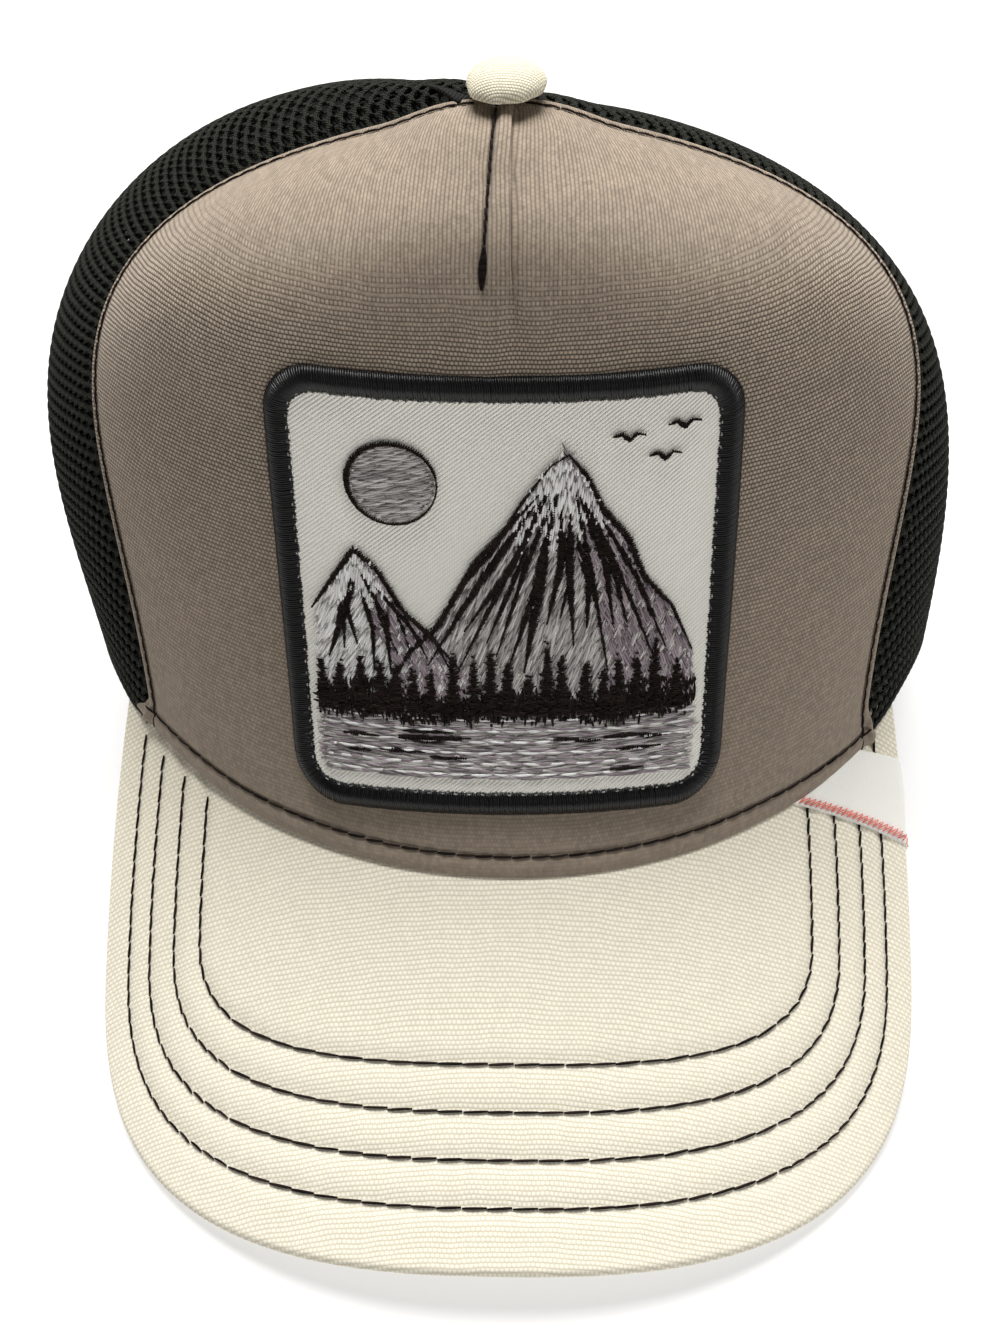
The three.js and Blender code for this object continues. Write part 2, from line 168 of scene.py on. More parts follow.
def crown(angle, t):
    """The crown's outer face; t runs from the rim, 0, to the top, 1."""
    rim_x, rim_y = rim_plan(angle)
    reach = np.hypot(rim_x, rim_y - TOP_BACK)
    out_x, out_y = rim_x / reach, (rim_y - TOP_BACK) / reach
    rise = profile_at(angle, "rise")
    lean = np.radians(profile_at(angle, "lean"))
    low = rim_height(angle)
    high = TOP_HEIGHT - profile_at(angle, "drop")
    radius = cubic(reach, reach + rise * np.sin(lean), profile_at(angle, "reach"), 0, t)
    cloth = cubic(low, low + rise * np.cos(lean), high, TOP_HEIGHT, t)
    disc = TOP_HEIGHT - math.tan(math.radians(TOP_TILT)) * out_y * radius
    height = lerp(cloth, disc, smooth(1 - radius / TOP_DISC))
    return np.stack([out_x * radius, TOP_BACK + out_y * radius, height], -1)


def slack_crown(angle, t):
    """The same for the mesh, which stands out a little where it is slack."""
    turn = np.abs(angle)
    beyond = np.clip((turn - front_seam(t)) / SLACK["angle"], 0, 1)
    fade = smooth((180 - turn) / SLACK["fade_angle"])
    amount = np.where(np.asarray(angle) < 0, SLACK["left"], SLACK["right"])
    swell = np.sin(np.pi * np.clip(t, 0, 1) ** 1.1)
    out = amount * np.sin(np.pi / 2 * beyond) * fade * swell
    rim_x, rim_y = rim_plan(angle)
    reach = np.hypot(rim_x, rim_y - TOP_BACK)
    side, up = np.cos(np.pi / 2 * t), np.sin(np.pi / 2 * t)
    direction = np.stack([rim_x / reach * side, (rim_y - TOP_BACK) / reach * side, up + 0 * reach], -1)
    return crown(angle, t) + direction * out[..., None]


def outward(form, angle, t):
    step = 0.004
    climb = form(angle, t + step) - form(angle, np.maximum(t - step, 0))
    around = form(angle + 0.4, t) - form(angle - 0.4, t)
    return unit(np.cross(around, climb))


class Flat:
    """A panel of the crown laid flat: across from its middle line and up from the rim, in mm."""

    ROWS, COLUMNS, SHARES = 120, 80, 80

    def __init__(self, form, left, middle, right):
        self.form = form
        t = np.linspace(0, 1, self.ROWS + 1)
        line = form(middle(t), t)
        self.ups = np.concatenate([[0], np.cumsum(np.linalg.norm(np.diff(line, axis=0), axis=1))])
        shares = np.linspace(0, 1, self.COLUMNS + 1)
        angles = lerp(left(t)[:, None], right(t)[:, None], shares)
        points = form(angles, t[:, None])
        steps = np.linalg.norm(np.diff(points, axis=1), axis=2)
        lengths = np.concatenate([np.zeros((len(t), 1)), np.cumsum(steps, axis=1)], axis=1)
        middles = np.array([np.interp(m, a, s) for m, a, s in zip(middle(t), angles, lengths)])
        self.left = np.maximum(middles, 1e-3)
        self.right = np.maximum(lengths[:, -1] - middles, 1e-3)
        share = np.linspace(-1, 1, self.SHARES + 1)
        rows = []
        for m, low, high, a, s in zip(middles, self.left, self.right, angles, lengths):
            rows.append(np.interp(m + np.where(share < 0, share * low, share * high), s, a))
        self.angles = np.array(rows)

    def widths(self, up):
        return np.interp(up, self.ups, self.left), np.interp(up, self.ups, self.right)

    def place(self, across, up):
        """(angle, t) of a place in the panel's own plan"""
        across, up = np.broadcast_arrays(np.asarray(across, float), np.asarray(up, float))
        row = np.interp(up, self.ups, np.arange(self.ROWS + 1))
        i = np.minimum(row.astype(int), self.ROWS - 1)
        left, right = self.widths(up)
        share = np.clip(np.where(across < 0, across / left, across / right), -1, 1)
        column = (share + 1) / 2 * self.SHARES
        j = np.minimum(column.astype(int), self.SHARES - 1)
        low = lerp(self.angles[i, j], self.angles[i, j + 1], column - j)
        high = lerp(self.angles[i + 1, j], self.angles[i + 1, j + 1], column - j)
        return lerp(low, high, row - i), row / self.ROWS

    def plan(self, angle, t):
        """(across, up) of a place on the form"""
        rows = np.clip(np.round(t * self.ROWS).astype(int), 0, self.ROWS)
        shares = np.linspace(-1, 1, self.SHARES + 1)
        across = np.zeros_like(t)
        for row in np.unique(rows):
            here = rows == row
            share = np.interp(angle[here], self.angles[row], shares)
            across[here] = share * np.where(share < 0, self.left[row], self.right[row])
        return across, np.interp(t * self.ROWS, np.arange(self.ROWS + 1), self.ups)

    def area(self):
        widths = self.left + self.right
        return float(((widths[1:] + widths[:-1]) / 2 * np.diff(self.ups)).sum())

    def point(self, across, up, lift=0.0):
        angle, t = self.place(across, up)
        return self.form(angle, t) + outward(self.form, angle, t) * np.asarray(lift)[..., None]

    def normal(self, across, up):
        return outward(self.form, *self.place(across, up))


front = Flat(crown, lambda t: -front_seam(t), lambda t: 0 * t, front_seam)
sides = {
    "left": Flat(slack_crown, lambda t: -back_seam(t), lambda t: -(front_seam(t) + back_seam(t)) / 2,
                 lambda t: -front_seam(t)),
    "right": Flat(slack_crown, front_seam, lambda t: (front_seam(t) + back_seam(t)) / 2, back_seam),
}
backs = {
    "left": Flat(slack_crown, lambda t: 0 * t - 180, lambda t: -(back_seam(t) + 180) / 2,
                 lambda t: -back_seam(t)),
    "right": Flat(slack_crown, back_seam, lambda t: (back_seam(t) + 180) / 2, lambda t: 0 * t + 180),
}
rear = Flat(crown, lambda t: 0 * t + 100, lambda t: 0 * t + 180, lambda t: 0 * t + 260)


# Making meshes
def new_piece(name, bm, smooth_faces=True):
    mesh = bpy.data.meshes.new(name)
    bm.to_mesh(mesh)
    bm.free()
    mesh.polygons.foreach_set("use_smooth", [smooth_faces] * len(mesh.polygons))
    piece = bpy.data.objects.new(name, mesh)
    bpy.context.scene.collection.objects.link(piece)
    return piece


def dress(piece, material, slot, *nodes):
    """The finish, the body and the frame nodes of a piece that is in place"""
    piece.data.materials.append(material)
    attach(piece, "root")
    if nodes:
        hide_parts(*nodes)
    return piece


def thicken(piece, thickness, bevel=0.0):
    wall = piece.modifiers.new("wall", "SOLIDIFY")
    wall.thickness = thickness * MM
    wall.offset = -1
    if bevel:
        edge = piece.modifiers.new("edge", "BEVEL")
        edge.width = bevel * MM
        edge.segments = 2
        edge.limit_method = "ANGLE"
        edge.angle_limit = math.radians(50)


def places(bm):
    return np.array([v.co for v in bm.verts])


def move_to(bm, points):
    for vert, point in zip(bm.verts, (points + HAT_TO_ROW) * MM):
        vert.co = point


def column_of(u, columns):
    """Number of a grid's column, for places from -1 to 1 across it"""
    return np.clip(np.round((u + 1) / 2 * columns).astype(int), 0, columns)


def lay_plan(bm, plan):
    """Keeps each vertex's place in the cloth's own plan, in mm, for the finishes to read."""
    layer = bm.loops.layers.uv.new("cloth")
    for face in bm.faces:
        for loop in face.loops:
            loop[layer].uv = plan[loop.vert.index]


def mapped_grid(name, columns, rows, shape, flip=False):
    """A grid over -1 to 1 each way, moved vertex by vertex to where shape puts it. shape gives
    the places and the cloth's own plan, both in mm."""
    bm = bmesh.new()
    bmesh.ops.create_grid(bm, x_segments=columns, y_segments=rows, size=1)
    own = places(bm)
    points, plan = shape(own[:, 0], own[:, 1])
    move_to(bm, points)
    lay_plan(bm, plan)
    if flip:
        bmesh.ops.reverse_faces(bm, faces=bm.faces)
    return new_piece(name, bm)


def strand_template(sides, cuts, arch, taper, bow=0.0):
    """A short thread along X from -0.5 to 0.5, one wide and one high, whose ends dive. It may also
    bow to one side."""
    bm = bmesh.new()
    bmesh.ops.create_cone(bm, segments=sides, radius1=0.5, radius2=0.5, depth=1, cap_ends=True)
    long_edges = [e for e in bm.edges if abs(e.verts[0].co.z - e.verts[1].co.z) > 0.5]
    bmesh.ops.subdivide_edges(bm, edges=long_edges, cuts=cuts)
    bmesh.ops.triangulate(bm, faces=bm.faces)
    for vert in bm.verts:
        along = vert.co.z
        thin = 1 - taper * (2 * abs(along)) ** 3
        hump = 1 - (2 * along) ** 2
        vert.co = Vector((along, vert.co.x * thin + bow * hump, vert.co.y * thin + arch * hump))
    bmesh.ops.recalc_face_normals(bm, faces=bm.faces)
    shape = np.array([v.co for v in bm.verts])
    faces = np.array([[v.index for v in f.verts] for f in bm.faces])
    bm.free()
    return shape, faces


def strands(name, template, rows):
    """One joined mesh of many threads. rows holds dicts of arrays: start, end, up, width, height,
    and shade."""
    shape, faces = template
    join = {key: np.concatenate([row[key] for row in rows]) for key in rows[0]}
    start, end = join["start"], join["end"]
    middle = (start + end) / 2
    length = np.linalg.norm(end - start, axis=1)
    along = unit(end - start)
    aside = unit(np.cross(join["up"], along))
    up = unit(np.cross(along, aside))
    points = (
        middle[:, None]
        + along[:, None] * (shape[None, :, 0:1] * length[:, None, None])
        + aside[:, None] * (shape[None, :, 1:2] * join["width"][:, None, None])
        + up[:, None] * (shape[None, :, 2:3] * join["height"][:, None, None])
    )
    count = len(start)
    points = (points.reshape(-1, 3) + HAT_TO_ROW) * MM
    corners = (faces[None] + (np.arange(count) * len(shape))[:, None, None]).reshape(-1, 3)
    mesh = bpy.data.meshes.new(name)
    mesh.from_pydata(points.tolist(), [], corners.tolist())
    mesh.polygons.foreach_set("use_smooth", [True] * len(mesh.polygons))
    shade = mesh.attributes.new("shade", "FLOAT", "POINT")
    shade.data.foreach_set("value", np.repeat(join["shade"], len(shape)))
    piece = bpy.data.objects.new(name, mesh)
    bpy.context.scene.collection.objects.link(piece)
    return piece


def sewn(points, normals, pitch, gap, width, height, slant=0.0):
    """Stitches of one length along a dense row of places on the cloth, each turned a little"""
    steps = np.linalg.norm(np.diff(points, axis=0), axis=1)
    lengths = np.concatenate([[0], np.cumsum(steps)])
    count = max(1, int(round(lengths[-1] / pitch)))
    pitch = lengths[-1] / count

    def at(distance, rows):
        return np.stack([np.interp(distance, lengths, rows[:, k]) for k in range(3)], -1)

    begin = np.arange(count) * pitch + gap / 2 + rng.normal(0, 0.06, count)
    start, end = at(begin, points), at(begin + pitch - gap, points)
    up = unit(at(begin + pitch / 2, normals))
    aside = unit(np.cross(up, end - start))
    sway = slant + rng.normal(0, 0.05, count)
    return {
        "start": start - aside * sway[:, None],
        "end": end + aside * sway[:, None],
        "up": up,
        "width": width * rng.uniform(0.9, 1.1, count),
        "height": height * np.ones(count),
        "shade": rng.uniform(0, 1, count),
    }


stitch_form = strand_template(sides=6, cuts=4, arch=0.35, taper=0.35)
bent_form = strand_template(sides=6, cuts=5, arch=0.35, taper=0.4, bow=0.35)
satin_form = strand_template(sides=5, cuts=2, arch=0.5, taper=0.6)
wrap_form = strand_template(sides=6, cuts=6, arch=2.4, taper=0.3)


# Finishes
class Finish:
    """A material with one principled shader and the nodes that feed it"""

    def __init__(self, name, roughness, colour=(0.5, 0.5, 0.5), **values):
        self.material = bpy.data.materials.new(name)
        self.material.use_nodes = True
        self.tree = self.material.node_tree
        self.shader = self.tree.nodes["Principled BSDF"]
        self.shader.inputs["Base Color"].default_value = (*colour, 1)
        self.shader.inputs["Roughness"].default_value = roughness
        for socket, value in values.items():
            self.shader.inputs[socket.replace("_", " ")].default_value = value

    def node(self, kind, settings=None, **inputs):
        node = self.tree.nodes.new(kind)
        for key, value in (settings or {}).items():
            setattr(node, key, value)
        for key, value in inputs.items():
            self.feed(node.inputs[key.replace("_", " ")], value)
        return node

    def feed(self, socket, value):
        if isinstance(value, bpy.types.NodeSocket):
            self.tree.links.new(value, socket)
        else:
            socket.default_value = value

    def calc(self, operation, *values):
        node = self.tree.nodes.new("ShaderNodeMath")
        node.operation = operation
        for socket, value in zip(node.inputs, values):
            self.feed(socket, value)
        return node.outputs[0]

    def noise(self, vector, scale, detail=3.0, roughness=0.5):
        node = self.node("ShaderNodeTexNoise", Vector=vector, Scale=scale, Detail=detail,
                         Roughness=roughness)
        return node.outputs["Fac"]

    def ramp(self, value, *stops):
        node = self.node("ShaderNodeValToRGB", Fac=value)
        elements = node.color_ramp.elements
        while len(elements) < len(stops):
            elements.new(0.5)
        for element, (position, colour) in zip(elements, stops):
            element.position = position
            element.color = (*colour, 1)
        return node.outputs["Color"]

    def mix(self, share, a, b, blend="MIX"):
        node = self.tree.nodes.new("ShaderNodeMix")
        node.data_type = "RGBA"
        node.blend_type = blend
        colours = [socket for socket in node.inputs if socket.type == "RGBA"]
        self.feed(node.inputs["Factor"], share)
        self.feed(colours[0], a)
        self.feed(colours[1], b)
        return next(socket for socket in node.outputs if socket.type == "RGBA")

    def raise_by(self, height, distance, strength=1.0):
        node = self.node("ShaderNodeBump", Height=height, Strength=strength, Distance=distance)
        self.feed(self.shader.inputs["Normal"], node.outputs["Normal"])

    def plan(self):
        """The cloth's own plan, across and up, in mm"""
        node = self.node("ShaderNodeUVMap", {"uv_map": "cloth"})
        split = self.node("ShaderNodeSeparateXYZ", Vector=node.outputs["UV"])
        return node.outputs["UV"], split.outputs["X"], split.outputs["Y"]

    def object_place(self):
        return self.node("ShaderNodeTexCoord").outputs["Object"]


def srgb(red, green, blue):
    def linear(value):
        v = value / 255
        return v / 12.92 if v <= 0.04045 else ((v + 0.055) / 1.055) ** 2.4
    return linear(red), linear(green), linear(blue)


def plain_weave(look, vector, across, up, pitch, ribs_from, ribs_full, calm_and_shade):
    """Height of a plain weave, and a tone of its own for each bead. pitch is the threads' spacing
    across and up. The rows show, but upright ribs take over between two heights of the plan. Since
    the height also sets the cloth's colour, this paints shade in the grooves between the rows low
    down and between the ribs higher up, the way a light from above falls. The weave is calmer below
    the second height of calm_and_shade, most so at the first."""
    def thread(value, scale, spacing):
        sway = look.calc("MULTIPLY_ADD", look.noise(vector, scale, 2.0), 1.6, value)
        return look.calc("DIVIDE", sway, spacing)

    def crest(value):
        within = look.calc("SUBTRACT", look.calc("FRACT", value), 0.5)
        return look.calc("COSINE", look.calc("MULTIPLY", within, math.pi))

    def beads(line, other, floor):
        """A line of beads, which lie half a pitch along from those beside them"""
        parity = look.calc("MODULO", look.calc("FLOOR", line), 2.0)
        shifted = look.calc("MULTIPLY_ADD", parity, 0.5, other)
        hump = look.calc("MULTIPLY_ADD", crest(shifted), 1 - floor, floor)
        return look.calc("MULTIPLY", look.calc("POWER", crest(line), 0.8), hump), shifted

    u, v = thread(across, 0.06, pitch[0]), thread(up, 0.075, pitch[1])
    rows, shifted = beads(v, u, 0.3)
    ribs, _ = beads(u, v, 0.72)
    ribs = look.calc("MULTIPLY_ADD", ribs, 0.4, 0.29)
    # Rows give way to ribs higher up. In the colour this is painted shade in the grooves; in the bump it
    # is relief.
    share = look.node("ShaderNodeMapRange", Value=up, From_Min=ribs_from, From_Max=ribs_full)
    height = look.calc("MULTIPLY_ADD", look.calc("SUBTRACT", ribs, rows), share.outputs["Result"], rows)
    depth = look.node("ShaderNodeMapRange", Value=up, From_Min=calm_and_shade[0], From_Max=calm_and_shade[1], To_Min=0.05)
    height = look.calc("MULTIPLY_ADD", look.calc("SUBTRACT", height, 0.6), depth.outputs["Result"], 0.6)
    cell = look.node("ShaderNodeCombineXYZ", X=look.calc("FLOOR", shifted), Y=look.calc("FLOOR", v))
    bead = look.node("ShaderNodeTexWhiteNoise", {"noise_dimensions": "2D"}, Vector=cell.outputs[0])
    return height, bead.outputs["Value"]


def cloth_finish(name, dark, light, pitch, relief, slub, cloud, ribs_from=1e4, ribs_full=2e4,
                 calm_and_shade=(-2e4, -1e4)):
    """A woven cloth of the peak's, the button's or the panel's kind. slub is how uneven its threads
    are and cloud how uneven its colour is. calm_and_shade gives the heights below which the weave is
    calmer and the cloth darker, a painted shade towards its lower edge. Without other values, no ribs
    take over and no part is calmer or has painted shade."""
    look = Finish(name, 0.92, Sheen_Weight=0.1, Sheen_Roughness=0.6, Specular_IOR_Level=0.15)
    vector, across, up = look.plan()
    height, bead = plain_weave(look, vector, across, up, pitch, ribs_from, ribs_full, calm_and_shade)
    thread = look.ramp(height, (0.1, dark), (0.9, light))
    lengthwise = look.node("ShaderNodeMapping", Vector=vector, Scale=(0.9, 0.05, 1)).outputs[0]
    crosswise = look.node("ShaderNodeMapping", Vector=vector, Scale=(0.05, 0.9, 1)).outputs[0]
    streaks = look.calc("ADD", look.noise(lengthwise, 1.6, 2.0), look.noise(crosswise, 1.6, 2.0))
    tone = look.calc("MULTIPLY_ADD", look.calc("SUBTRACT", streaks, 1.0), slub * 2, 1.0)
    beads = look.calc("MULTIPLY_ADD", bead, slub * 2, 1 - slub)
    clouds = look.calc("MULTIPLY_ADD", look.noise(vector, 0.03, 3.0), cloud * 2, 1 - cloud)
    # Painted shade: below the second height of calm_and_shade the tone falls, to 0.9 at the first height,
    # so the cloth is darker towards its lower edge.
    low = look.node("ShaderNodeMapRange", Value=up, From_Min=calm_and_shade[0], From_Max=calm_and_shade[1], To_Min=0.9)
    tone = look.calc("MULTIPLY", look.calc("MULTIPLY", tone, beads), clouds)
    tone = look.calc("MULTIPLY", tone, low.outputs["Result"])
    shade = look.node("ShaderNodeCombineColor", Red=tone, Green=tone, Blue=tone).outputs[0]
    look.feed(look.shader.inputs["Base Color"], look.mix(1.0, thread, shade, "MULTIPLY"))
    fuzz = look.calc("MULTIPLY", look.noise(vector, 3.0, 4.0, 0.7), 0.35)
    look.raise_by(look.calc("ADD", height, fuzz), relief * MM)
    return look.material


def thread_finish(name, dark, light, roughness, sheen=0.2, shine=0.5):
    look = Finish(name, roughness, Sheen_Weight=sheen, Sheen_Roughness=0.4, Specular_IOR_Level=shine)
    shade = look.node("ShaderNodeAttribute", {"attribute_name": "shade"}).outputs["Fac"]
    look.feed(look.shader.inputs["Base Color"], look.ramp(shade, (0.0, dark), (1.0, light)))
    look.raise_by(look.noise(look.object_place(), 6000, 2.0), 0.05 * MM, 0.5)
    return look.material


def tape_finish(name, dark, light, rib, roughness=0.75, relief=0.18):
    look = Finish(name, roughness, Specular_IOR_Level=0.25)
    vector, across, up = look.plan()
    slant = look.calc("ADD", across, look.calc("MULTIPLY", up, 0.7))
    wave = look.calc("ABSOLUTE", look.calc("SINE", look.calc("MULTIPLY", slant, math.pi / rib)))
    grain = look.calc("ADD", wave, look.calc("MULTIPLY", look.noise(vector, 2.0, 3.0), 0.6))
    look.feed(look.shader.inputs["Base Color"], look.ramp(grain, (0.2, dark), (1.1, light)))
    look.raise_by(grain, relief * MM)
    return look.material


def twill_finish():
    look = Finish("white_twill", 0.62, Sheen_Weight=0.15, Sheen_Roughness=0.5, Specular_IOR_Level=0.35)
    vector, across, up = look.plan()
    wander = look.calc("MULTIPLY", look.noise(vector, 0.2, 2.0), 0.6)
    slant = look.calc("ADD", look.calc("SUBTRACT", look.calc("MULTIPLY", up, 1.15), across), wander)
    rib = look.calc("ABSOLUTE", look.calc("SINE", look.calc("MULTIPLY", slant, math.pi / 0.95)))
    beat = look.calc("ABSOLUTE", look.calc("SINE", look.calc("MULTIPLY", across, math.pi / 0.42)))
    height = look.calc("MULTIPLY", look.calc("POWER", rib, 0.7),
                       look.calc("MULTIPLY_ADD", beat, 0.3, 0.7))
    look.feed(look.shader.inputs["Base Color"],
              look.ramp(height, (0.05, srgb(228, 225, 214)), (0.5, srgb(255, 253, 243))))
    look.raise_by(height, 0.14 * MM)
    return look.material


def mesh_finish():
    look = Finish("black_mesh", 0.7, Specular_IOR_Level=0.18)
    vector, across, up = look.plan()
    loops = look.calc("ABSOLUTE", look.calc("SINE", look.calc("MULTIPLY", across, math.pi / 0.42)))
    plies = look.calc("ABSOLUTE", look.calc("SINE", look.calc("MULTIPLY", up, math.pi / 0.36)))
    knit = look.calc("ADD", look.calc("MULTIPLY", loops, plies), look.noise(vector, 0.8, 3.0))
    look.feed(look.shader.inputs["Base Color"],
              look.ramp(knit, (0.4, srgb(10, 10, 8)), (1.3, srgb(44, 45, 37))))
    look.raise_by(knit, 0.2 * MM)
    return look.material


def plastic_finish():
    look = Finish("black_plastic", 0.42, Specular_IOR_Level=0.45)
    place = look.object_place()
    look.feed(look.shader.inputs["Base Color"],
              look.ramp(look.noise(place, 120, 4.0), (0.3, srgb(20, 20, 21)), (0.8, srgb(34, 34, 35))))
    look.raise_by(look.noise(place, 1800, 3.0), 0.05 * MM)
    return look.material


# Painted shade on the taupe canvas: calm_and_shade darkens it towards its lower edge, and where its rows
# give way to ribs higher up, the painted shade in the grooves changes with them.
canvas_cloth = cloth_finish("taupe_canvas", srgb(62, 55, 47), srgb(184, 167, 148), pitch=(0.70, 0.81),
                            relief=0.13, slub=0.12, cloud=0.04, ribs_from=98.0, ribs_full=116.0,
                            calm_and_shade=(0.0, 75.0))
peak_cloth = cloth_finish("cream_canvas", srgb(221, 212, 189), srgb(255, 249, 232), pitch=(0.84, 0.76),
                          relief=0.045, slub=0.03, cloud=0.02)
button_cloth = cloth_finish("cream_button", srgb(172, 163, 138), srgb(247, 240, 217), pitch=(0.6, 0.6),
                            relief=0.08, slub=0.05, cloud=0.03)
black_thread = thread_finish("black_thread", srgb(20, 14, 12), srgb(44, 35, 31), roughness=0.8,
                             sheen=0.0, shine=0.1)
border_thread = thread_finish("black_rayon", srgb(3, 3, 3), srgb(11, 11, 12), roughness=0.34,
                              sheen=0.0, shine=0.35)
white_thread = thread_finish("white_rayon", srgb(220, 218, 214), srgb(252, 252, 250), roughness=0.26)
silver_thread = thread_finish("silver_rayon", srgb(150, 144, 142), srgb(226, 221, 218), roughness=0.22)
mauve_thread = thread_finish("mauve_rayon", srgb(112, 98, 106), srgb(168, 152, 160), roughness=0.28,
                             sheen=0.3)
grey_thread = thread_finish("grey_cotton", srgb(90, 88, 84), srgb(186, 184, 178), roughness=0.5)
red_thread = thread_finish("red_thread", srgb(206, 58, 30), srgb(240, 96, 60), roughness=0.5)
black_tape = tape_finish("black_tape", srgb(8, 8, 7), srgb(24, 24, 22), rib=0.8)
white_ribbon = tape_finish("white_ribbon", srgb(252, 249, 238), srgb(255, 254, 248), rib=0.5,
                           roughness=0.7, relief=0.05)
mesh_cloth = mesh_finish()
twill = twill_finish()
strap_plastic = plastic_finish()


# Front panel
DART = {"seam_top": -0.5, "seam_low": -2.5, "fold": 2.3, "tack": 110.5, "low": 106.0, "high": 143.5}
# Distances of the rows of stitches from the panel's side edges and from its lower edge
EDGE_STITCH = 2.1
LOWER_STITCH = 4.2
# How far the turned lower edge lies over the rim, in mm, for places across the panel
HEM = {
    "across": [-84, -79.5, -67, -60, -50, -36, -20, 10, 37, 50, 58, 66, 73, 80, 84],
    "over": [4.8, 2.6, 2.2, 1.7, 1.1, 0.7, 0.1, -0.4, -0.5, -0.3, -0.5, -0.9, -1.5, -1.7, 0.6],
}
# The hem's ends stand out past the panel's side seams
CORNER = {"left": 4.6, "right": 3.0, "over": 9.0, "lift": 0.5}


def hem(across):
    return np.interp(across, HEM["across"], HEM["over"])


def corner_reach(up, side):
    return np.where(side < 0, CORNER["left"], CORNER["right"]) * smooth(1 - up / CORNER["over"])


def on_front(across, up, lift=0.0):
    """A place on the front panel, which may hang a little under the rim and stand out past the
    side seams"""
    across, up = np.broadcast_arrays(np.asarray(across, float), np.asarray(up, float))
    over = np.maximum(up, 0)
    left, right = front.widths(over)
    inside = np.clip(across, -left, right)
    past = across - inside
    climb = unit(front.point(inside, 0 * up + 0.6) - front.point(inside, 0 * up))
    normal = front.normal(inside, over)
    raised = np.asarray(lift) + CORNER["lift"] * smooth(np.abs(past))
    return (front.point(inside, over, raised) + climb * np.minimum(up, 0)[..., None]
            + unit(np.cross(climb, normal)) * past[..., None])


def sewn_edge(distance, stitch):
    """Relief beside a turned edge: it rolls down, swells, and is pulled in by its stitches."""
    roll = -0.4 * np.clip(1 - distance / 0.4, 0, 1) ** 2
    swell = 0.3 * bump(distance, stitch * 0.5, stitch * 0.32)
    pull = -0.35 * bump(distance, stitch, 0.4)
    return roll + swell + pull


def dart_lines(up):
    """Where the dart's seam runs, and how far up the place is from the dart's lower end"""
    share = np.clip((DART["high"] - up) / (DART["high"] - DART["tack"]), 0, 1)
    return lerp(DART["seam_top"], DART["seam_low"], share), smooth((up - DART["low"]) / 9)


def dart_relief(across, up):
    """The dart's folded edge stands over the cloth to its right. Below it a dent runs down, with a
    soft ridge from the dart's end to the patch."""
    seam, inside = dart_lines(up)
    flap = smooth((across - seam) / 1.4) * smooth((DART["fold"] - across) / 0.5 + 0.5)
    beside = across - DART["fold"]
    hollow = -0.8 * np.exp(-np.maximum(beside, 0) / 1.5) * smooth(beside / 0.5 + 0.5)
    pull = -0.45 * bump(across, seam, 0.45)
    below = smooth((up - 90) / 12) * smooth((114 - up) / 8)
    fall = np.maximum(108 - up, 0)
    dent = -0.8 * bump(across, DART["fold"] + 0.1 * fall, 1.2 + 0.2 * fall)
    ridge = 0.5 * bump(across, -3.5 + 0.2 * fall, 3.0 + 0.1 * fall)
    return inside * (0.9 * flap + hollow + pull) + (dent + ridge) * below


def dart_tuck(across, up):
    """The cloth beside the dart is drawn in under the dart's folded edge."""
    _, inside = dart_lines(up)
    return -0.45 * inside * bump(across, DART["fold"] + 0.45, 0.45)


def front_relief(across, up):
    left, right = front.widths(up)
    reach = corner_reach(up, across)
    to_side = np.where(across < 0, left + reach + across, right + reach - across)
    over_hem = up - hem(across)
    wrinkle = 0.25 * np.sin(across * 0.11 + 1.3) * np.sin(up * 0.07 + 0.4)
    return (sewn_edge(to_side, EDGE_STITCH) + sewn_edge(over_hem, LOWER_STITCH)
            + dart_relief(across, up) + wrinkle * smooth(to_side / 15) * smooth(up / 15))


def front_shape(u, v):
    # Columns are close and straight beside the dart and crowd towards the seams; rows crowd
    # towards the lower edge.
    climb = ((v + 1) / 2) ** 1.35 * front.ups[-1] * PANEL_TOP
    left, right = front.widths(climb)
    width = np.where(u < 0, left, right) + corner_reach(climb, u)
    near = np.minimum(6.0, width / 2)
    beyond = np.clip((np.abs(u) - 0.2) / 0.8, 0, 1)
    outer = near + (width - near) * (0.4 * beyond + 0.6 * np.sin(np.pi / 2 * beyond))
    across = np.sign(u) * np.where(np.abs(u) < 0.2, np.abs(u) / 0.2 * near, outer)
    climb = climb + hem(across) * smooth(1 - climb / 12)
    points = on_front(across + dart_tuck(across, climb), climb, front_relief(across, climb))
    return points, np.stack([across, climb], -1)


def front_panel():
    piece = mapped_grid("canvas_front", 300, 140, front_shape)
    thicken(piece, CANVAS)
    return dress(piece, canvas_cloth, "canvas", "front_panel")


def bar_tack():
    """The close stitches that end the dart"""
    count = 22
    up = DART["tack"] + np.linspace(0, 6.5, count)
    wide = 0.3 + 1.1 * np.sin(np.linspace(0.1, np.pi - 0.1, count))
    middle, _ = dart_lines(up)
    return {
        "start": front.point(middle - wide / 2, up - 0.15, 0.3),
        "end": front.point(middle + wide / 2, up + 0.15, 0.3),
        "up": front.normal(middle, up),
        "width": np.full(count, 0.5),
        "height": np.full(count, 0.7),
        "shade": rng.uniform(0, 1, count),
    }


